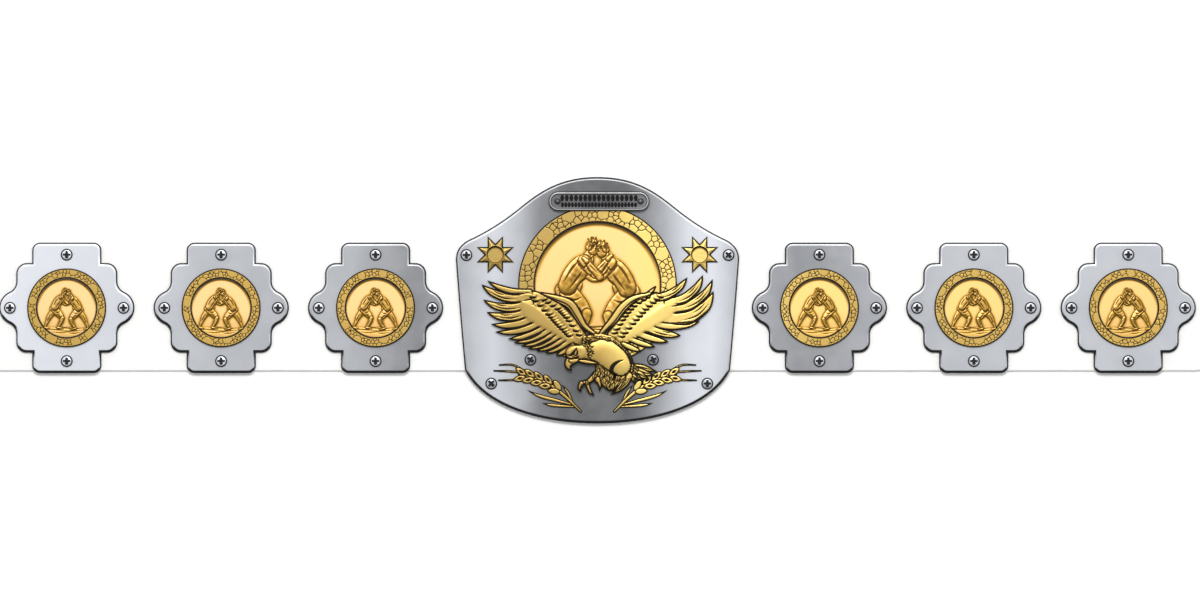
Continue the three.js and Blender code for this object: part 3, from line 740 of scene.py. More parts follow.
def sideOutline(centre):
    s = sideSize
    lobeX = s["lobeReach"] - s["lobeRadius"]
    filletX = s["shoulderHalf"] + s["lobeFillet"]
    filletY = math.sqrt((s["lobeRadius"] + s["lobeFillet"]) ** 2 - (filletX - lobeX) ** 2)
    touch = math.atan2(filletY, filletX - lobeX)
    corner = s["shoulderHalf"] - s["shoulderRadius"], s["shoulderHeight"] - s["shoulderRadius"]
    tab = s["tabHalf"] - s["tabRadius"], s["tabHeight"] - s["tabRadius"]
    quarter = arc(lobeX, 0, s["lobeRadius"], 0, touch, 10)
    quarter += arc(filletX, filletY, s["lobeFillet"], math.pi + touch, math.pi, 8)[1:]
    quarter += arc(*corner, s["shoulderRadius"], 0, math.pi / 2, 10)
    quarter += [(s["tabHalf"], s["shoulderHeight"])]
    quarter += arc(*tab, s["tabRadius"], 0, math.pi / 2, 8)
    loop = quarter + [(-x, y) for x, y in reversed(quarter)]
    loop += [(-x, -y) for x, y in quarter] + [(x, -y) for x, y in reversed(quarter)]
    return tidyLoop([(centre + x, beltLine + y) for x, y in loop])


# Strap
strapSize = {
    "half": 54 * mm, "tipHalf": 44 * mm, "tipRadius": 22 * mm, "tail": 119 * mm, "inset": 2.5 * mm,
    "lowStep": 1.5 * mm, "topStep": 2 * mm,  # where the strap widens behind the main plate
}
post = {"radius": 2.5 * mm, "hole": 2.8 * mm, "low": 0.25 * mm}


def screwPlaces():
    names = [f"main_screw_{i}" for i in range(1, 7)]
    names += [f"side_screw_{i}_{k}" for i in range(1, 7) for k in range(1, 5)]
    return {name: middleOf(name) for name in names}


screws = screwPlaces()
screwHoles = [circle(p.x, p.y, post["hole"], 20) for p in screws.values()]


def strapOutline():
    s = strapSize
    end = cadHigh.x
    start = end - s["tail"]
    corner = end - s["tipRadius"]
    panel = [(x, y - beltLine) for x, y in mainOutline(s["inset"])]
    top = [(x, y) for x, y in panel if x >= 0 and y > s["half"]]
    low = [(x, y) for x, y in panel if x >= 0 and y < -s["half"]]
    top.sort(key=lambda p: -p[0])
    low.sort(key=lambda p: p[0])
    right = low + [(low[-1][0] + s["lowStep"], -s["half"]), (start, -s["half"])]
    right += arc(corner, -s["tipHalf"] + s["tipRadius"], s["tipRadius"], -math.pi / 2, 0, 14)
    right += arc(corner, s["tipHalf"] - s["tipRadius"], s["tipRadius"], 0, math.pi / 2, 14)
    right += [(start, s["half"]), (top[0][0] + s["topStep"], s["half"])] + top
    left = [(-x, y) for x, y in reversed(right)]
    return tidyLoop([(x, y + beltLine) for x, y in right + left])


snaps = {
    "rows": [24 * mm, 0.0, -24 * mm], "studRadius": 3.5 * mm, "socketRadius": 5.2 * mm,
    "socketHole": 5.5 * mm, "barHalf": 33 * mm, "barWide": 6.5 * mm, "barBottom": 3.1 * mm,
    "barTop": 4.3 * mm, "studTop": 6.9 * mm, "bore": 3.8 * mm, "roof": 3.15 * mm,
}
studX = middleOf("snap_studs").x
socketX = middleOf("snap_sockets").x
strapRim = [  # inset, height and edge
    (0.4, 0, 0.7), (0.06, 0.35, 1), (0, 0.8, 1), (0, 2.1, 1), (0.1, 2.6, 0.9), (0.45, 2.92, 0.4),
    (0.9, 3.0, 0.1), (1.5, 3.0, 0),
]


def makeStrap():
    shell = Shell()
    holes = screwHoles + [circle(studX, beltLine + y, post["hole"], 20) for y in snaps["rows"]]
    holes += [circle(socketX, beltLine + y, snaps["socketHole"], 28) for y in snaps["rows"]]
    addSlab(shell, strapOutline(), rimsFrom(0.0, strapRim), holes)
    dress(shell.piece("strap_leather", leather), "white_leather", "strap")


# Plates: a dark foot, a bevel with a painted highlight, painted shade along the lower side, and a flat face
plateRim = [  # inset, height above the back, edge, and edge on the lower side, where it is painted shade
    (0.1, 0, 0.9, 1), (0, 0.15, 0.9, 1), (0, 1.7, 0.9, 1), (0.5, 2.2, 0.9, 1), (1.0, 2.5, 0.8, 1),
    (1.3, 2.65, 0, 1), (1.7, 2.83, -0.5, 1), (2.05, 2.94, -0.4, 0.9), (2.5, 3.0, 0, 0), (3.2, 3.0, 0, 0),
]


def inBox(hole, node):
    low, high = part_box(node)
    x, y = hole[0]
    return low.x < x < high.x and low.y < y < high.y


def makePlate(name, outline, node):
    shell = Shell()
    holes = [hole for hole in screwHoles if inBox(hole, node)]
    addSlab(shell, outline, rimsFrom(plateBottom, plateRim), holes)
    dress(shell.piece(name, silver), "plate_silver", node)


makeStrap()
print("strap made")
makePlate("main_plate_face", mainOutline(), "main_plate")
for i, x in enumerate(sideCentres, 1):
    makePlate(f"side_plate_face_{i}", sideOutline(x), f"side_plate_{i}")
print("plates made")


# Rings: flat round bosses and small cobbles between two dark lips
ringLook = {  # mm, and how many bosses
    "main": {"inner": 54, "outer": 68.2, "step": 0.42, "cell": 4.6, "boss": 4.8, "bosses": 16, "line": 0.9},
    "side": {"inner": 25.4, "outer": 33.9, "step": 0.34, "cell": 3.0, "boss": 3.5, "bosses": 9, "line": 0.72},
}


def cobbleSeeds(look, seed):
    rng = random.Random(seed)
    inner, outer, cell = (look[key] * mm for key in ("inner", "outer", "cell"))
    seeds = []
    for i in range(look["bosses"]):
        angle = math.tau * (i + rng.uniform(-0.25, 0.25)) / look["bosses"]
        radius = (inner + outer) / 2 + rng.choice((-0.3, 0.02, 0.3)) * (outer - inner)
        size = look["boss"] * mm * rng.uniform(0.75, 1.2)
        seeds.append((radius * math.cos(angle), radius * math.sin(angle), size))
    for _ in range(int(30 * math.tau * (outer ** 2 - inner ** 2) / cell ** 2)):
        angle = rng.uniform(0, math.tau)
        radius = rng.uniform(inner + 0.1 * cell, outer - 0.1 * cell)
        small = cell * rng.uniform(0.16, 0.5)
        x, y = radius * math.cos(angle), radius * math.sin(angle)
        if all(math.hypot(x - a, y - b) > small + r + 0.3 * cell for a, b, r in seeds):
            seeds.append((x, y, small))
    return seeds


ringForm = {
    "top": 2.22 * mm, "crown": 0.08 * mm, "drop": 0.7 * mm, "groove": 0.9, "paintedGleam": 0.4,
    # Ways in from the ring's edge
    "round": 0.9 * mm, "fade": (1.1 * mm, 2.0 * mm), "lip": (0.85 * mm, 1.3 * mm),
}


def makeRing(name, node, kind, seed):
    look, form = ringLook[kind], ringForm
    inner, outer, line, step = (look[key] * mm for key in ("inner", "outer", "line", "step"))
    centre = middleOf(node)
    relief = squareRelief(centre, outer + 1 * mm, step)
    x, y = relief.x - centre.x, relief.y - centre.y
    away = np.hypot(x, y)
    relief.inside = np.minimum(away - inner, outer - away)
    nearest = np.full(x.shape, 1.0)
    second = np.full(x.shape, 1.0)
    for a, b, r in cobbleSeeds(look, seed):
        gap = np.hypot(x - a, y - b) - r
        second = np.minimum(second, np.maximum(nearest, gap))
        nearest = np.minimum(nearest, gap)
    border = second - nearest  # 0 along the middle of a groove
    relief.height = trimBottom + form["top"] + form["crown"] * smooth(border, 0, line * 1.6)
    # Dark grooves between the cobbles, with a painted highlight band beside each
    groove = 1 - smooth(border, line * 0.3, line * 1.25)
    paintedGleam = smooth(border, line * 1.25, line * 1.7) * (1 - smooth(border, line * 2.0, line * 2.8))
    relief.edge = form["groove"] * groove - form["paintedGleam"] * paintedGleam
    fade = smooth(relief.inside, *form["fade"])
    relief.edge = np.where(relief.inside < form["fade"][1], relief.edge * fade, relief.edge)
    lip = smooth(relief.inside, *form["lip"])
    relief.edge = np.maximum(relief.edge, 1.1 * (1 - lip))
    relief.height -= form["drop"] * (1 - smooth(relief.inside, 0, form["round"]))
    makeCasting(relief, name, gold, "gold_casting", node, sharp=80)


makeRing("main_ring_cobbles", "main_ring", "main", 11)
for i in range(1, 7):
    makeRing(f"side_ring_cobbles_{i}", f"side_ring_{i}", "side", 20 + i)
print("rings made")


# Discs: two grapplers who hold each other, as shares of the disc's radius
grappler = [  # how high each part stands, then rows of x, y and half width
    (0.50, [(-0.36, -0.08, 0.11), (-0.52, -0.28, 0.085), (-0.60, -0.46, 0.05), (-0.66, -0.60, 0.035)]),
    (0.45, [(-0.67, -0.62, 0.04), (-0.54, -0.645, 0.025)]),
    (0.55, [(-0.12, 0.26, 0.06), (0.02, 0.12, 0.045), (0.16, 0.18, 0.035)]),
    (0.85, [(-0.42, -0.04, 0.10), (-0.36, -0.06, 0.13), (-0.28, 0.02, 0.10)]),
    (0.85, [(-0.34, -0.10, 0.125), (-0.22, -0.22, 0.105), (-0.13, -0.33, 0.07)]),
    (0.75, [(-0.13, -0.33, 0.066), (-0.17, -0.45, 0.062), (-0.25, -0.60, 0.034)]),
    (0.60, [(-0.27, -0.62, 0.04), (-0.13, -0.65, 0.025)]),
    (1.00, [(-0.36, 0.0, 0.12), (-0.30, 0.12, 0.13), (-0.20, 0.24, 0.13), (-0.12, 0.32, 0.08)]),
    (0.85, [(-0.12, 0.36, 0.06), (-0.07, 0.43, 0.055)]),
    (0.85, [(-0.055, 0.43, 0.06), (-0.045, 0.47, 0.068)]),
    (0.95, [(-0.10, 0.47, 0.045), (-0.07, 0.525, 0.05), (-0.02, 0.535, 0.035)]),
    (1.00, [(-0.16, 0.30, 0.085), (-0.10, 0.22, 0.075), (-0.03, 0.14, 0.055)]),
    (0.95, [(-0.03, 0.14, 0.052), (0.06, 0.24, 0.048), (0.13, 0.33, 0.032)]),
    (0.90, [(0.13, 0.33, 0.038), (0.17, 0.37, 0.026)]),
]
muscleLines = [
    [(-0.40, 0.06, 0.0), (-0.32, 0.20, 0.012), (-0.22, 0.31, 0.0)],
    [(-0.33, -0.02, 0.0), (-0.24, 0.10, 0.012), (-0.19, 0.17, 0.0)],
    [(-0.25, -0.01, 0.0), (-0.19, 0.06, 0.01), (-0.13, 0.10, 0.0)],
    [(-0.40, -0.12, 0.0), (-0.29, -0.17, 0.012), (-0.20, -0.14, 0.0)],
    [(-0.30, -0.20, 0.0), (-0.22, -0.28, 0.01), (-0.19, -0.33, 0.0)],
    [(-0.17, -0.39, 0.0), (-0.20, -0.47, 0.009), (-0.23, -0.54, 0.0)],
    [(-0.50, -0.24, 0.0), (-0.56, -0.36, 0.01), (-0.60, -0.45, 0.0)],
    [(-0.15, 0.27, 0.0), (-0.10, 0.19, 0.01), (-0.05, 0.15, 0.0)],
    [(-0.22, 0.30, 0.0), (-0.17, 0.22, 0.012), (-0.11, 0.28, 0.0)],
    [(0.0, 0.19, 0.0), (0.06, 0.25, 0.008), (0.10, 0.30, 0.0)],
    [(-0.03, 0.455, 0.0), (-0.005, 0.45, 0.006), (0.01, 0.455, 0.0)],
    [(-0.05, 0.475, 0.0), (-0.03, 0.485, 0.007), (-0.01, 0.48, 0.0)],
]
groundLines = [  # left end, right end and level
    (-0.55, 0.30, -0.66), (-0.20, 0.62, -0.70), (-0.62, -0.10, -0.74), (-0.35, 0.52, -0.79),
    (-0.48, 0.10, -0.84), (0.0, 0.44, -0.86),
]
discForm = {
    "base": 1.0 * mm, "rise": 1.15 * mm, "line": 0.95 * mm, "curls": 70, "edgeInset": 0.3 * mm,
    "brown": 0.66, "footShade": 0.24, "rimOuter": 0.7 * mm, "rimInner": 1.1 * mm,
    "shadowOuter": 1.2 * mm, "shadowInner": 4.2 * mm,
}


def paintFigures(relief, place, rise, line):
    base = trimBottom + discForm["base"]
    for level, rows in grappler:
        for hand in (1, -1):
            points = place(rows, hand, 10)
            shoulder = points[:, 2].max() * 1.05
            relief.paint(points, base + 0.1 * rise, level * rise * 0.9, shoulder, line * 1.1, 0.75)
    covered = relief.height > base
    for rows in muscleLines:
        for hand in (1, -1):
            relief.stroke(place(rows, hand, 8), 0.3 * rise, 0.7, 0.7 * line, 0.35)
    curls = random.Random(7)
    for _ in range(discForm["curls"]):
        hand = curls.choice((1, -1))
        x, y = -curls.uniform(0.0, 0.13), curls.uniform(0.44, 0.57)
        if math.hypot(x + 0.06, y - 0.50) < 0.075:
            turn = curls.uniform(0.6, 2.4)
            rows = [(x, y, 0.003), (x + 0.03 * math.cos(turn), y + 0.03 * math.sin(turn), 0.007)]
            relief.stroke(place(rows, hand, 3), 0.2 * rise, 0.9, 0.4 * line)
    return covered


def paintDisc(relief, centre, radius, size, lift):
    form = discForm
    rise = form["rise"]
    fine = (radius / (54 * mm)) ** 0.6  # marks get finer on a smaller disc, though not in proportion
    line = form["line"] * fine
    away = np.hypot(relief.x - centre.x, relief.y - centre.y)
    relief.inside = radius - away
    relief.height[:] = trimBottom + form["base"]

    def place(rows, hand, steps):
        sink = 0.03 * (hand < 0)  # the figure on the right stands a little lower
        turned = [(hand * x * size, (y - sink) * size + lift, half * size) for x, y, half in rows]
        return smoothRows(turned, radius, centre, steps)

    for left, right, level in groundLines:
        rows = [(left, level, 0.0), ((left + right) / 2, level - 0.02, 0.016), (right, level + 0.01, 0.0)]
        relief.stroke(smoothRows(rows, radius, centre, 12), 0.22 * rise, 0.55, 0.7 * line, 0.3)
    figures = paintFigures(relief, place, rise, line)
    # Painted light and shade on the figures from their slopes: lighter facing up and left, darker facing down
    # and right
    slopeY, slopeX = np.gradient(relief.height, relief.step)
    tone = np.clip((slopeY - 0.7 * slopeX) / 0.55, -0.7, 1)
    hollow = np.clip((blurred(relief.height, 4) - relief.height) / rise / 0.2, -0.5, 1)
    patina = blurred(np.random.default_rng(5).random(relief.x.shape), 2) - 0.5
    brown = form["brown"] + 0.18 * (1 - fine)
    # The ground is darker towards the foot of the disc, as painted shade
    relief.edge += (~figures) * form["footShade"] * smooth((centre.y - relief.y) / radius, -0.1, 0.9)
    relief.edge += figures * (brown + 0.65 * tone + 0.7 * hollow + 2.2 * patina)
    relief.edge += (~figures) * 0.5 * np.maximum(hollow, 0)
    relief.edge = np.clip(relief.edge, -0.4, 0.95)
    # A dark line inside the rim, darker at the top as painted shade, and a painted shadow of the ring over
    # the upper part of the disc
    rim = smooth(away, radius - form["rimInner"] * fine, radius - form["rimOuter"] * fine)
    upper = smooth((relief.y - centre.y) / radius, -0.2, 0.9)
    shadow = smooth(away, radius - form["shadowInner"] * fine, radius - form["shadowOuter"] * fine) * upper
    relief.edge = np.maximum(relief.edge, np.maximum(1.25 * rim * (0.25 + 0.75 * upper), 0.9 * shadow))


def makeDisc(name, node, diameter, step, size, lift):
    radius = diameter / 2 * mm - discForm["edgeInset"]
    centre = middleOf(node)
    relief = squareRelief(centre, radius + step, step)
    paintDisc(relief, centre, radius, size, lift)
    makeCasting(relief, name, discGold, "gold_disc", node)


makeDisc("main_medallion_relief", "main_medallion", 108, 0.45 * mm, 1.32, -0.02)
for i in range(1, 7):
    makeDisc(f"side_medallion_relief_{i}", f"side_medallion_{i}", 50.8, 0.3 * mm, 1.12, 0.02)
print("discs made")


# Screws: one head with its post, copied to every place
screwLook = {  # mm: radii and heights of the head, the groove and flat on top of it, and the cross
    "head": 5.1, "shoulder": 4.05, "groove": 3.85, "flat": 3.6, "rim": 1.0, "dome": 0.7,
    "armLong": 3.2, "armHalf": 0.8, "armTip": 0.72, "depth": 1.1,
}


def makeScrewShape():
    s = screwLook
    steps = 36
    top = s["rim"] + s["dome"]
    # The head's side and the cross's floor are dark as painted shade, and the top takes a painted highlight
    rows = [  # radius, height and edge, from the foot of the post up to the head
        (post["radius"] / mm, (post["low"] - trimBottom) / mm, 0.3), (post["radius"] / mm, 0, 0.3),
        (s["head"] - 0.15, 0, 1), (s["head"], 0.2, 1), (s["head"], s["rim"] - 0.1, 1),
        (s["head"] - 0.3, s["rim"] + 0.25, 1), (s["shoulder"], s["rim"] + 0.5, 1),
        (s["groove"], s["rim"] + 0.58, -0.3), (s["flat"], top, -0.3),
    ]
    arm = ((s["armHalf"], -s["armHalf"]), (s["armLong"], -s["armTip"]), (s["armLong"], s["armTip"]))
    arms = []
    for k in range(4):
        turn = math.pi / 2 * k
        for x, y in arm:
            arms.append((x * math.cos(turn) - y * math.sin(turn), x * math.sin(turn) + y * math.cos(turn)))
    loops = [(circle(0, 0, radius, steps), level, edge) for radius, level, edge in rows]
    loops += [(arms, top, 0.9), (arms, top - s["depth"], 1.4)]
    points = [(x * mm, y * mm, level * mm) for loop, level, _ in loops for x, y in loop]
    edges = [edge for loop, _, edge in loops for _ in loop]
    slot = len(rows) * steps
    floor = slot + len(arms)
    rings = [list(range(slot - steps, slot)), list(range(slot, floor))]
    faces = bandFaces(0, steps, len(rows)) + bandFaces(slot, len(arms), 2) + capFaces(points, rings)
    faces += [tuple(range(steps)), tuple(range(floor, len(points)))]
    shell = Shell()
    shell.add(points, faces, edges)
    return shell.piece("screwShape", screwSteel, sharp=30)


screwTurns = {1: 0, 2: 45, 3: 57, 4: 22, 5: 45, 6: 0}  # degrees, on the main plate
screwRows = []
for name, spot in screws.items():
    turn = math.radians(screwTurns[int(name[-1])]) if name.startswith("main") else 0.0
    screwRows.append((spot.x, spot.y, trimBottom, turn, 1.0))
dress(copyOnPoints("screw_heads", makeScrewShape(), screwRows, screwSteel), "screw_steel", *screws)
print("screws made")


# Stars: ridged arms round a cup
starLook = {  # mm, and how many points
    "tip": 17.3, "valley": 9.4, "points": 8, "foot": 1.0, "slope": 0.34, "thick": 2.2,
    "cup": 7.0, "cupDepth": 1.2, "cupRim": 1.3, "step": 0.28,
}


def makeStar(name, node):
    s = starLook
    centre = middleOf(node)
    relief = squareRelief(centre, (s["tip"] + 1) * mm, s["step"] * mm)
    x, y = (relief.x - centre.x) / mm, (relief.y - centre.y) / mm
    away = np.hypot(x, y)
    sector = math.pi / s["points"]
    # Folded into half a point; a tip stands half a step round from the axes
    turn = sector - np.abs((np.arctan2(y, x) + sector) % (2 * sector) - sector)
    foldX, foldY = away * np.cos(turn), away * np.sin(turn)
    valleyX, valleyY = s["valley"] * math.cos(sector), s["valley"] * math.sin(sector)
    sideX, sideY = valleyX - s["tip"], valleyY
    long = math.hypot(sideX, sideY)
    relief.inside = (foldY * sideX - (foldX - s["tip"]) * sideY) / long * mm
    relief.inside = np.where(away < 1, s["valley"] * mm, relief.inside)
    depth = relief.inside / mm
    height = s["foot"] + np.minimum(np.maximum(depth, 0) * s["slope"], s["thick"] - s["foot"] - 0.1)
    # A painted highlight along each arm's ridge and in a band inside the dark outline
    tone = np.where(foldY < 0.9, -0.35, 0.0) + 1.1 * (1 - smooth(depth, 0.95, 1.5))
    tone = tone + np.where((depth > 1.5) & (depth < 2.2), -0.3, 0.0)
    cup = smooth(away, s["cup"] - 0.5, s["cup"] + 0.1)
    height = np.where(away < s["cup"] + s["cupRim"], s["thick"], height)
    height = height * cup + (s["thick"] - s["cupDepth"]) * (1 - cup)
    # A dark line round the cup, darker at the top as painted shade, and a painted shadow in the cup's upper
    # part
    ring = 1 - smooth(np.abs(away - s["cup"]), 0.45, 0.9)
    upper = smooth(y / s["cup"], -0.2, 0.9)
    shadow = smooth(away, s["cup"] - 2.6, s["cup"] - 0.6) * (1 - cup) * upper
    tone = np.where(away < s["cup"] + 0.8, 0.0, tone)
    relief.height = trimBottom + height * mm
    relief.edge = np.maximum(tone, np.maximum(ring * (0.55 + 0.5 * upper), 0.7 * shadow))
    makeCasting(relief, name, hammeredGold, "gold_casting", node)


makeStar("star_left_face", "star_left")
makeStar("star_right_face", "star_right")
print("stars made")


# Nameplate: a rimmed bar with plain marks where a title would stand
barLook = {"length": 86.8, "width": 16.7, "field": 1.5, "rivet": 2.2, "rivetInset": 5.6}  # mm
barRim = [  # inset, height and edge; the edges below 0 are a painted highlight on the bevel
    (0.1, 0, 1), (0, 0.2, 1), (0, 1.3, 1), (0.4, 1.65, 0.8), (0.9, 1.95, -0.3), (1.5, 2.0, -0.5),
    (1.9, 1.95, 0.1), (2.2, 1.6, 1.0), (2.6, 1.5, 0.3), (3.1, 1.5, 0),
]
rivetRows = [  # share of the rivet's radius, height and edge; its post stands on the plate
    (0, -ringRise, 0.2), (1, -ringRise, 0.2), (1, 1.4, 0.6), (1.35, 1.5, 1), (1.35, 1.75, 0.1),
    (1.1, 1.85, 1.1), (0.95, 2.3, 0.6), (0.6, 2.75, 0.5), (0, 3.0, 0.3),
]
markLook = {  # mm; rows: how many, how far apart, how far above the middle, and their size
    "halfWide": 1.75, "halfTall": 2.65, "rows": [(17, 3.95, 2.7, 1.0), (23, 2.85, -3.1, 0.8)],
}
markRim = [(0, -0.2, 0), (0, 0.12, 0), (0.12, 0.22, 0)]


def barOutline(x, y, length, width, steps):
    radius = width / 2
    reach = length / 2 - radius
    right = arc(x + reach, y, radius, -math.pi / 2, math.pi / 2, steps)
    left = arc(x - reach, y, radius, math.pi / 2, 3 * math.pi / 2, steps)
    return right + left


def makeNameplate():
    s = barLook
    centre = middleOf("nameplate")
    shell = Shell()
    outline = barOutline(centre.x, centre.y, s["length"] * mm, s["width"] * mm, 20)
    addSlab(shell, outline, rimsFrom(overBottom, barRim))
    reach = (s["length"] / 2 - s["rivetInset"] - s["rivet"]) * mm
    radius = s["rivet"] * mm
    for hand in (-1, 1):
        rows = [(radius * share, overBottom + height * mm, edge) for share, height, edge in rivetRows]
        lathe(shell, centre.x + hand * reach, centre.y, rows, 24)
    dress(shell.piece("nameplate_bar", barSilver), "dark_silver", "nameplate")


def makeMarks():
    # Rows of dark lozenges, let into the sunk field of the bar
    s = markLook
    centre = middleOf("nameplate")
    level = overBottom + barLook["field"] * mm
    lozenge = [(-1.0, 0), (-0.5, -1.0), (0.5, -1.0), (1.0, 0), (0.5, 1.0), (-0.5, 1.0)]
    outline = [(x * s["halfWide"] * mm, y * s["halfTall"] * mm) for x, y in lozenge]
    shell = Shell()
    addSlab(shell, outline, rimsFrom(0.0, markRim))
    places = []
    for count, apart, above, size in s["rows"]:
        for i in range(count):
            x = centre.x + (i - (count - 1) / 2) * apart * mm
            places.append((x, centre.y + above * mm, level, 0.0, size))
    marks = copyOnPoints("nameplate_marks", shell.piece("markShape", enamel), places, enamel)
    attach(marks, body)


makeNameplate()
makeMarks()
print("nameplate made")


# Snap closure on the tails
def makeSnaps():
    s = snaps
    bottom, top = s["barBottom"], s["barTop"]
    # The bar's top bevel takes a painted highlight
    rims = [(0, bottom, 0.6), (0, top - 0.4 * mm, 0.3), (0.4 * mm, top, -0.3), (1.2 * mm, top, 0)]
    r = s["studRadius"]
    stud = [
        (0, post["low"]), (post["radius"], post["low"]), (post["radius"], bottom), (r * 0.9, bottom),
        (r * 0.86, top), (r * 0.86, top + 0.9 * mm), (r, top + 1.5 * mm),
        (r * 0.9, s["studTop"] - 0.3 * mm), (r * 0.6, s["studTop"]), (0, s["studTop"]),
    ]
    r = s["socketRadius"]
    socket = [
        (0, s["roof"]), (s["bore"], s["roof"]), (s["bore"], post["low"]), (r, post["low"]), (r, bottom),
        (r * 0.95, top), (r * 0.7, top + 0.02 * mm), (0, top + 0.04 * mm),
    ]
    for kind, x, rows in (("stud", studX, stud), ("socket", socketX, socket)):
        shell = Shell()
        bar = barOutline(0, 0, 2 * s["barHalf"], 2 * s["barWide"], 14)
        addSlab(shell, [(x - b, beltLine + a) for a, b in bar], rims)
        for y in s["rows"]:
            lathe(shell, x, beltLine + y, [(*row, 0.0) for row in rows], 28)
        dress(shell.piece(f"snap_{kind}_bar", barSilver), "snap_metal", f"snap_{kind}s")


makeSnaps()
print("snaps made")


# Eagle, as shares of the wing's half span from where the wings meet
eagleLook = {
    "scale": 100 * mm, "origin": (0.0, beltLine - 19.1 * mm), "feather": 1.4 * mm, "step": 0.37 * mm,
    "line": 1.7 * mm, "reach": 103 * mm, "below": 60 * mm, "above": 50 * mm,
}
featherHeight = eagleLook["feather"]
smallFeather = 0.066  # a feather narrower than this is smooth
feathers = [  # tip x, tip y, root x, root y, width, bend
    (-0.949, 0.428, -0.581, 0.331, 0.056, 0.1), (-0.998, 0.394, -0.598, 0.284, 0.077, 0.13),
    (-0.986, 0.264, -0.581, 0.232, 0.073, 0.14), (-0.955, 0.157, -0.555, 0.181, 0.077, 0.14),
    (-0.918, 0.052, -0.52, 0.12, 0.065, 0.1), (-0.884, -0.014, -0.469, 0.077, 0.06, 0.09),
    (-0.774, -0.076, -0.426, 0.043, 0.056, 0.08), (-0.724, -0.11, -0.383, 0.017, 0.056, 0.07),
    (-0.662, -0.14, -0.34, -0.009, 0.052, 0.07), (-0.603, -0.164, -0.305, -0.034, 0.052, 0.06),
    (-0.529, -0.181, -0.271, -0.069, 0.052, 0.05), (-0.452, -0.198, -0.236, -0.095, 0.052, 0.05),
    (-0.357, -0.219, -0.211, -0.129, 0.052, 0.04), (0.506, 0.384, 0.348, 0.249, 0.043, -0.05),
    (0.773, 0.456, 0.469, 0.275, 0.069, -0.14), (0.906, 0.476, 0.606, 0.232, 0.077, -0.16),
    (0.991, 0.441, 0.641, 0.181, 0.077, -0.17), (0.998, 0.338, 0.606, 0.095, 0.103, -0.2),
    (0.884, 0.081, 0.52, 0.043, 0.06, -0.08), (0.72, -0.047, 0.408, 0.026, 0.069, -0.05),
    (0.613, -0.101, 0.34, -0.026, 0.06, -0.04), (0.499, -0.144, 0.28, -0.077, 0.052, -0.03),
    (0.378, -0.183, 0.219, -0.12, 0.052, -0.02),
]
featherOutline = ((0, 0.5), (0.33, 0.58), (0.67, 0.5), (0.86, 0.3), (1, 0.0))  # place and half width
featherShafts = ((0.14, 0.2, 0.8, 0.006), (-0.2, 0.45, 0.75, 0.0045))  # across, start, end, half width
palms = [  # smooth parts of the wings, from the outer end in
    [(-0.64, 0.24, 0.04), (-0.59, 0.17, 0.085), (-0.49, 0.10, 0.085), (-0.36, 0.02, 0.075),
     (-0.23, -0.08, 0.055)],
    [(-0.62, 0.305, 0.03), (-0.55, 0.295, 0.045), (-0.50, 0.275, 0.05), (-0.38, 0.19, 0.07),
     (-0.27, 0.09, 0.07), (-0.15, -0.06, 0.06)],
    [(0.66, 0.24, 0.04), (0.60, 0.17, 0.085), (0.49, 0.10, 0.085), (0.36, 0.02, 0.075), (0.24, -0.07, 0.055)],
    [(0.50, 0.29, 0.04), (0.38, 0.20, 0.07), (0.27, 0.09, 0.07), (0.13, -0.04, 0.05)],
]
wingWebs = [  # lower parts that close the gaps between a wing's feathers and its palm
    [(-0.60, 0.27, 0.05), (-0.50, 0.22, 0.06), (-0.36, 0.12, 0.07), (-0.22, -0.03, 0.07),
     (-0.12, -0.10, 0.05)],
    [(0.62, 0.25, 0.05), (0.50, 0.22, 0.06), (0.36, 0.12, 0.07), (0.22, -0.03, 0.07), (0.16, -0.10, 0.05)],
]
leadingEdges = [
    [(-0.486, 0.318, 0.012), (-0.357, 0.275, 0.034), (-0.236, 0.222, 0.045), (-0.172, 0.13, 0.042),
     (-0.115, 0.035, 0.034), (-0.04, -0.022, 0.026), (0.0, -0.05, 0.022)],
    [(0.452, 0.314, 0.017), (0.314, 0.271, 0.034), (0.219, 0.198, 0.042), (0.135, 0.086, 0.04),
     (0.06, 0.005, 0.03), (0.02, -0.045, 0.024)],
]
scaleRows = [  # count, lean to the path, and the path
    (14, 1.2, [(-0.565, 0.301), (-0.414, 0.138), (-0.325, 0.041), (-0.236, -0.048)]),
    (12, 1.2, [(-0.47, 0.275), (-0.325, 0.178), (-0.256, 0.103), (-0.147, -0.048)]),
    (12, -1.2, [(0.55, 0.30), (0.43, 0.20), (0.32, 0.08), (0.20, -0.06)]),
    (11, -1.2, [(0.44, 0.30), (0.31, 0.21), (0.22, 0.10), (0.14, -0.03)]),
]
tailBands = [
    [(0.27, -0.30, 0.02), (0.40, -0.325, 0.03), (0.53, -0.367, 0.0)],
    [(0.27, -0.32, 0.02), (0.40, -0.365, 0.03), (0.50, -0.395, 0.0)],
    [(0.27, -0.34, 0.02), (0.37, -0.385, 0.03), (0.45, -0.43, 0.0)],
    [(0.26, -0.36, 0.02), (0.33, -0.40, 0.028), (0.40, -0.43, 0.0)],
    [(0.25, -0.37, 0.02), (0.30, -0.41, 0.024), (0.325, -0.475, 0.0)],
]
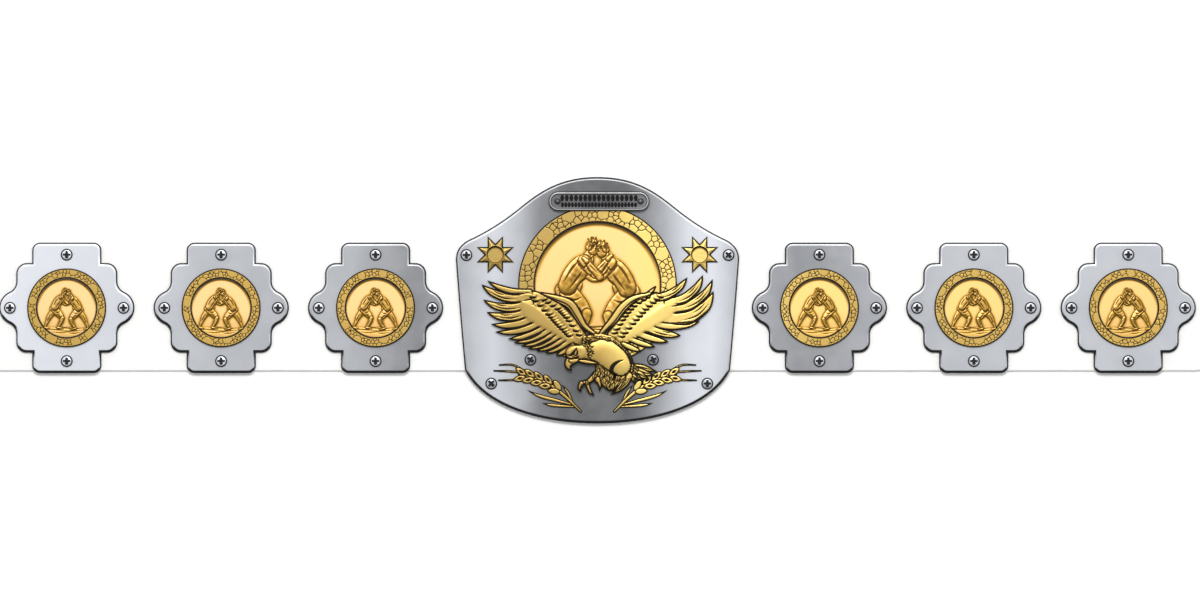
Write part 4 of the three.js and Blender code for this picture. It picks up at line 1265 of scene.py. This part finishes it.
legBands = [  # height as a multiple of a feather's, and the rows
    (1.1, [(0.27, -0.39, 0.035), (0.235, -0.45, 0.04), (0.18, -0.51, 0.026), (0.106, -0.559, 0.0)]),
    (1.3, [(0.20, -0.40, 0.05), (0.16, -0.455, 0.036), (0.125, -0.515, 0.012)]),
    (1.5, [(0.09, -0.34, 0.06), (0.08, -0.42, 0.065), (0.11, -0.48, 0.045)]),
    (1.5, [(0.02, -0.31, 0.04), (0.02, -0.38, 0.045), (0.0, -0.43, 0.03)]),
    (1.6, [(0.0, -0.42, 0.024), (0.022, -0.475, 0.019), (0.014, -0.53, 0.0)]),
    (1.5, [(-0.02, -0.38, 0.03), (-0.07, -0.435, 0.026), (-0.12, -0.452, 0.022), (-0.145, -0.475, 0.022)]),
    (1.6, [(-0.14, -0.455, 0.024), (-0.155, -0.50, 0.018), (-0.136, -0.537, 0.0)]),
    (1.7, [(-0.09, -0.455, 0.022), (-0.075, -0.50, 0.021), (-0.055, -0.54, 0.017), (-0.022, -0.565, 0.0)]),
]
tailTuft = ([(0.29, -0.29), (0.31, -0.34), (0.30, -0.39)], 9, (-0.4, -1.0), (0.07, 0.013), 0.95, 6, 0.3)
legTufts = [  # path, how many, lean at its two ends, length and half width, height, seed and how wild
    ([(0.27, -0.41), (0.24, -0.44), (0.21, -0.45), (0.18, -0.44)], 6, (-2.3, -2.1), (0.10, 0.012),
     0.95, 5, 0.1),
    ([(0.0, -0.31), (0.06, -0.35), (0.14, -0.38), (0.24, -0.40)], 14, (-1.7, -2.2), (0.06, 0.014),
     1.2, 3, 0.3),
    ([(0.02, -0.36), (0.08, -0.40), (0.15, -0.43)], 11, (-1.2, -2.2), (0.055, 0.013), 1.25, 4, 0.7),
    ([(0.05, -0.43), (0.10, -0.46), (0.13, -0.48)], 7, (-1.2, -2.4), (0.04, 0.012), 1.2, 9, 0.6),
    ([(0.0, -0.31), (-0.005, -0.35), (-0.03, -0.385)], 5, (-1.5, -2.2), (0.05, 0.012), 1.2, 8, 0.3),
    ([(-0.07, -0.445), (-0.11, -0.46), (-0.14, -0.47)], 5, (-1.6, -2.2), (0.03, 0.011), 1.3, 10, 0.5),
]
neckTufts = [
    ([(-0.095, -0.06), (-0.085, -0.15), (-0.075, -0.24)], 11, (-0.5, 0.2), (0.05, 0.011), 2.1, 12, 0.5),
    ([(-0.125, -0.08), (-0.12, -0.15), (-0.11, -0.235)], 9, (-0.9, -0.1), (0.045, 0.010), 2.2, 13, 0.5),
]
headLines = [  # depth in mm, painted highlight beside it, and the rows of mouth, brow, cheek and eye
    (0.4, 0.7, [(-0.278, -0.236, 0.004), (-0.22, -0.246, 0.009), (-0.163, -0.226, 0.006)]),
    (0.4, 0.4, [(-0.268, -0.212, 0.002), (-0.232, -0.216, 0.010), (-0.205, -0.193, 0.012),
                (-0.178, -0.155, 0.003)]),
    (0.4, 0.0, [(-0.18, -0.165, 0.002), (-0.174, -0.19, 0.008), (-0.180, -0.214, 0.008),
                (-0.212, -0.226, 0.002)]),
    (0.3, 0.0, [(-0.213, -0.209, 0.009), (-0.204, -0.208, 0.009)]),
]
bodyBands = [
    (2.3, [(-0.165, -0.262, 0.016), (-0.09, -0.272, 0.026), (0.0, -0.286, 0.014)]),
    (2.6, [(-0.21, -0.19, 0.062), (-0.13, -0.185, 0.07), (-0.03, -0.18, 0.09)]),
    (2.95, [(0.0, -0.18, 0.095), (0.06, -0.19, 0.115), (0.13, -0.23, 0.12), (0.19, -0.29, 0.10),
            (0.205, -0.315, 0.08)]),
]


def eaglePoints(rows, steps=20):
    return smoothRows(rows, eagleLook["scale"], eagleLook["origin"], steps)


def addForm(relief, rows, low, rise, shoulder, line=0.0, fade=0.0, steps=20):
    # low and rise are multiples of a feather's height; shoulder, line and fade are in mm
    points = eaglePoints(rows, steps)
    level = overBottom + low * featherHeight
    relief.paint(points, level, rise * featherHeight, shoulder * mm, line * mm, fade=fade * mm)


def widest(rows):
    return eaglePoints(rows)[:, 2].max() / mm


def featherPoint(feather, share, across=0.0):
    tipX, tipY, rootX, rootY, width, bend = feather
    dx, dy = tipX - rootX, tipY - rootY
    sag = bend * 4 * share * (1 - share)
    long = math.hypot(dx, dy)
    x = rootX + dx * share - dy * sag - dy / long * across * width
    y = rootY + dy * share + dx * sag + dx / long * across * width
    return x, y


def paintFeathers(relief):
    for rows in wingWebs:
        addForm(relief, rows, 0.7, 0.2, 2)
    for k, feather in enumerate(feathers):
        rows = [(*featherPoint(feather, s), h * feather[4]) for s, h in featherOutline]
        addForm(relief, rows, 0.5, 0.62 if k % 2 else 0.5, 2.4, 1.5)
        hand = 1 if feather[0] < 0 else -1
        if feather[4] < smallFeather:
            continue
        for across, start, end, half in featherShafts:
            path = ((start, 0), ((start + end) / 2, half), (end, 0))
            shaft = [(*featherPoint(feather, s, across * hand), h) for s, h in path]
            relief.stroke(eaglePoints(shaft, 10), 0.4 * mm, 0.95, paintedLight=0.4)


def paintScales(relief):
    for count, lean, path in scaleRows:
        xs, ys = [p[0] for p in path], [p[1] for p in path]
        for i in range(count):
            t = (i + 0.5) / count
            x, y = spline(xs, t), spline(ys, t)
            ahead = spline(xs, t + 0.03), spline(ys, t + 0.03)
            turn = math.atan2(ahead[1] - y, ahead[0] - x) + lean
            dx, dy = math.cos(turn) * 0.024, math.sin(turn) * 0.024
            hook = 0.5 * (1 if lean > 0 else -1)
            rows = [(x - dx, y - dy, 0.006), (x, y, 0.017), (x + dx, y + dy, 0.014)]
            addForm(relief, rows, 1.1, 0.5, 1.4, fade=0.5, steps=6)
            sideX, sideY = dy * hook, -dx * hook
            comma = [(x + dx + sideX * 1.4, y + dy + sideY * 1.4, 0.0),
                     (x + sideX * 1.1, y + sideY * 1.1, 0.0085),
                     (x - dx * 0.9 + sideX * 0.2, y - dy * 0.9 + sideY * 0.2, 0.009),
                     (x - dx * 1.0 - sideX * 0.9, y - dy * 1.0 - sideY * 0.9, 0.0)]
            relief.stroke(eaglePoints(comma, 10), 0.6 * mm, paintedLight=0.5)


def paintWings(relief):
    for rows in palms:
        addForm(relief, rows, 0.95, 0.3, 8, fade=4.5)
    for feather in feathers:
        hand = 1 if feather[0] < 0 else -1
        start = 0.18 if hand > 0 else 0.0
        path = ((start, 0.0), (start + 0.14, 0.0065), (start + 0.36, 0.0095), (0.8, 0.003))
        line = [(*featherPoint(feather, s, 0.5 * hand), h) for s, h in path]
        relief.stroke(eaglePoints(line, 14), 0.6 * mm, paintedLight=0.5)
    paintScales(relief)
    for rows in leadingEdges:
        addForm(relief, rows, 0.9, 0.75, 3.2, 1.4)
        hand = 1 if rows[0][0] < 0 else -1
        seam = []
        for (x, y, half), (nextX, nextY, _) in zip(rows, rows[1:]):
            long = math.hypot(nextX - x, nextY - y)
            shift = 0.42 * half * hand / long
            seam.append((x + (nextY - y) * shift, y - (nextX - x) * shift, 0.0055))
        seam[0] = (*seam[0][:2], 0.0)
        seam.append((*rows[-1][:2], 0.0))
        relief.stroke(eaglePoints(seam), 0.45 * mm, 1.0, paintedLight=0.4)


def paintTufts(relief, path, count, lean, size, low, seed, wild):
    # size: length and half width; lean: the way the tufts point, at both ends of the path
    rng = random.Random(seed)
    xs, ys = [p[0] for p in path], [p[1] for p in path]
    for i in range(count):
        t = (i + rng.uniform(0.2, 0.8)) / count
        x, y = spline(xs, t) + rng.uniform(-0.008, 0.008), spline(ys, t) + rng.uniform(-0.006, 0.006)
        turn = lean[0] + (lean[1] - lean[0]) * t + rng.uniform(-wild, wild)
        reach = size[0] * rng.uniform(0.8, 1.2)
        dx, dy = math.cos(turn) * reach, math.sin(turn) * reach
        rows = [(x, y, size[1] * 0.7), (x + dx * 0.4, y + dy * 0.4, size[1]), (x + dx, y + dy, 0.0)]
        addForm(relief, rows, low, 0.45, 1.1, 0.95, steps=8)


def paintLegs(relief):
    for rows in tailBands:
        addForm(relief, rows, 0.8, 0.5, 1.6, 1.2)
        shaft = [(x, y, half * 0.2) for x, y, half in rows]
        relief.stroke(eaglePoints(shaft), 0.35 * mm, 0.8, paintedLight=0.4)
    paintTufts(relief, *tailTuft)
    for height, rows in legBands:
        addForm(relief, rows, height - 0.9, 0.9, max(0.8 * widest(rows), 1), 1)
    for tuft in legTufts:
        paintTufts(relief, *tuft)


def paintBody(relief):
    neck = [(-0.10, -0.075, 0.035), (-0.03, -0.07, 0.04), (0.05, -0.065, 0.04), (0.13, -0.09, 0.035)]
    addForm(relief, neck, 1.1, 0.4, 2, 1.1)
    for height, rows in bodyBands:
        addForm(relief, rows, height - 1.1, 1.1, 0.9 * widest(rows), 1.35)
    strip = [(-0.04, -0.055, 0.012), (0.05, -0.07, 0.015), (0.13, -0.085, 0.017), (0.205, -0.14, 0.017),
             (0.265, -0.205, 0.016), (0.298, -0.28, 0.014), (0.295, -0.35, 0.01)]
    addForm(relief, strip, 1.3, 0.7, 1.2, 0.8)
    paintTufts(relief, [row[:2] for row in strip], 13, (-0.2, -1.7), (0.04, 0.010), 1.5, 14, 0.15)
    curl = [(0.224, -0.258, 0.0), (0.178, -0.272, 0.009), (0.135, -0.305, 0.016), (0.12, -0.35, 0.018),
            (0.15, -0.385, 0.008), (0.18, -0.392, 0.0)]
    relief.stroke(eaglePoints(curl), 0.7 * mm, soft=0.5 * mm, paintedLight=0.5)
    for tuft in neckTufts:
        paintTufts(relief, *tuft)


def paintHead(relief):
    crown = [(-0.15, -0.19, 0.07), (-0.19, -0.19, 0.07), (-0.222, -0.197, 0.06)]
    addForm(relief, crown, 1.9, 0.9, 5, fade=2.2)
    beak = [(-0.215, -0.262, 0.040), (-0.238, -0.268, 0.044), (-0.253, -0.297, 0.033),
            (-0.243, -0.33, 0.018), (-0.213, -0.352, 0.0)]
    addForm(relief, beak, 1.7, 1.0, 3.0, fade=1.2)
    jaw = [(-0.225, -0.262, 0.026), (-0.185, -0.262, 0.024), (-0.165, -0.25, 0.014)]
    addForm(relief, jaw, 1.8, 0.8, 2, 1.1)
    for deep, paintedLight, rows in headLines:
        relief.stroke(eaglePoints(rows), deep * mm, paintedLight=paintedLight)


def makeEagle():
    look = eagleLook
    x, y = look["origin"]
    low, high = (x - look["reach"], y - look["below"]), (x + look["reach"], y + look["above"])
    relief = Relief(low, high, look["step"])
    paintFeathers(relief)
    paintWings(relief)
    paintLegs(relief)
    paintBody(relief)
    paintHead(relief)
    relief.finish(look["line"])
    makeCasting(relief, "eagle_casting", gold, "gold_casting", "eagle", overBottom)


makeEagle()
print("eagle made")


# Wheat, as shares of the ear's length from the foot of its stem
wheatLook = {
    "scale": 86 * mm, "foot": (14.5 * mm, beltLine - 88.9 * mm), "step": 0.36 * mm, "margin": 3 * mm,
    "line": 1.05 * mm, "drop": 0.3 * mm,
}
wheatBands = [  # the stem, then the awns and leaves
    [(0, 0, 0.014), (-0.088, 0.088, 0.018), (-0.18, 0.172, 0.022), (-0.326, 0.277, 0.018),
     (-0.506, 0.344, 0.014), (-0.62, 0.372, 0.01)],
    [(-0.811, 0.463, 0.008), (-0.678, 0.463, 0.012), (-0.57, 0.41, 0.012)],
    [(-0.865, 0.405, 0.008), (-0.73, 0.40, 0.012), (-0.6, 0.39, 0.012)],
    [(-0.819, 0.31, 0.008), (-0.7, 0.312, 0.012), (-0.6, 0.32, 0.012)],
    [(-0.536, 0.214, 0.0), (-0.417, 0.156, 0.018), (-0.264, 0.114, 0.02), (-0.07, 0.065, 0.012)],
    [(-0.387, 0.084, 0.0), (-0.28, 0.061, 0.018), (-0.05, 0.045, 0.012)],
    [(-0.192, 0.271, 0.0), (-0.13, 0.19, 0.018), (-0.08, 0.085, 0.012)],
]
kernelPlaces = [(-0.601, 0.361), (-0.515, 0.344), (-0.429, 0.317), (-0.341, 0.283), (-0.249, 0.229)]
kernelLook = {"long": 0.13, "half": 0.034, "offset": 0.034, "splay": 0.42}
kernelShape = ((-0.52, 0.0), (-0.22, 0.85), (0.05, 1.0), (0.3, 0.7), (0.54, 0.0))
kernelHollow = ((-0.2, 0.0), (0.0, 0.013), (0.2, 0.0))
wheatForms = {  # mm: height above the plate, rise, shoulder and line
    "leaf": (0.7, 0.7, 1.3, 0.8), "stem": (0.8, 0.8, 1.4, 0.9), "kernel": (1.0, 0.8, 1.6, 1.05),
}


def paintWheat(relief, points, kind):
    low, rise, shoulder, line = (value * mm for value in wheatForms[kind])
    relief.paint(points, trimBottom + low, rise, shoulder, line)


def paintKernels(relief, place):
    look = kernelLook
    for i, (x, y) in enumerate(kernelPlaces):
        after = kernelPlaces[min(i + 1, len(kernelPlaces) - 1)]
        before = kernelPlaces[max(i - 1, 0)]
        along = math.atan2(before[1] - after[1], before[0] - after[0])
        for side in (-1, 1):
            mx = x - math.sin(along) * look["offset"] * side
            my = y + math.cos(along) * look["offset"] * side
            dx = math.cos(along + look["splay"] * side) * look["long"]
            dy = math.sin(along + look["splay"] * side) * look["long"]
            rows = [(mx + dx * s, my + dy * s, look["half"] * h) for s, h in kernelShape]
            paintWheat(relief, place(rows), "kernel")
            if i < len(kernelPlaces) - 1:
                hollow = [(mx + dx * s, my + dy * s, h) for s, h in kernelHollow]
                relief.stroke(place(hollow), 0.5 * mm, 1.0, 0.3 * mm)


def makeWheat(name, node, hand):
    look = wheatLook
    origin = (hand * look["foot"][0], look["foot"][1])

    def place(rows):
        return smoothRows([(-hand * x, y, half) for x, y, half in rows], look["scale"], origin, 14)

    low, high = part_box(node)
    margin = look["margin"]
    relief = Relief((low.x - margin, low.y - margin), (high.x + margin, high.y + margin), look["step"])
    for rows in wheatBands[1:]:
        paintWheat(relief, place(rows), "leaf")
    # The stem lies over the ends of the leaves
    paintWheat(relief, place(wheatBands[0]), "stem")
    paintKernels(relief, place)
    relief.finish(look["line"], look["drop"])
    makeCasting(relief, name, gold, "gold_casting", node)


makeWheat("wheat_left_ear", "wheat_left", -1)
makeWheat("wheat_right_ear", "wheat_right", 1)
print("wheat made")


# Floor, light and camera
skyTones = {0.0: 0.22, 0.18: 0.30, 0.36: 0.62, 0.45: 0.95, 0.5: 1.0, 1.0: 1.0}  # foot to top of the picture
lampLook = {"place": (0.0, 1.4, 3.1), "size": (1.3, 0.7), "power": 62}
cameraLook = {"x": 2.15 * mm, "y": 0.2 * mm, "distance": 8.0, "across": 1.032}
floorLook = {"reach": 6.0, "level": -0.2 * mm}


def makeFloor():
    mesh = bpy.data.meshes.new("floor")
    reach = floorLook["reach"]
    corners = [(-reach, -reach, 0), (reach, -reach, 0), (reach, reach, 0), (-reach, reach, 0)]
    mesh.from_pydata(corners, [], [(0, 1, 2, 3)])
    mesh.materials.append(paleFloor())
    floor = bpy.data.objects.new("floor", mesh)
    floor.location.z = floorLook["level"]
    bpy.context.collection.objects.link(floor)


def makeSky():
    # A soft studio, lighter towards the top of the picture than towards its foot
    world = bpy.data.worlds.new("studio")
    bpy.context.scene.world = world
    shade = Shade(world, "World", "Generated")
    stops = [(place, (tone, tone, tone, 1)) for place, tone in skyTones.items()]
    tone = shade.add("ShaderNodeValToRGB", {"stops": stops}, [shade.axis("Y") * 0.5 + 0.5])
    shade.finish({"Color": tone, "Strength": 1.0}, "ShaderNodeBackground")


def makeLamp():
    data = bpy.data.lights.new("key", "AREA")
    data.shape = "RECTANGLE"
    data.size, data.size_y = lampLook["size"]
    data.energy = lampLook["power"]
    lamp = bpy.data.objects.new("key", data)
    lamp.location = lampLook["place"]
    lamp.rotation_euler = Vector(lampLook["place"]).to_track_quat("Z", "Y").to_euler()
    bpy.context.collection.objects.link(lamp)


def makeCamera():
    # Straight above, as the flat drawing is seen
    data = bpy.data.cameras.new("camera")
    data.lens = data.sensor_width * cameraLook["distance"] / cameraLook["across"]
    camera = bpy.data.objects.new("camera", data)
    camera.location = (cameraLook["x"], cameraLook["y"], cameraLook["distance"])
    bpy.context.collection.objects.link(camera)
    bpy.context.scene.camera = camera


makeFloor()
makeSky()
makeLamp()
makeCamera()
bpy.context.scene.view_settings.view_transform = "Standard"
print("floor, light and camera made")
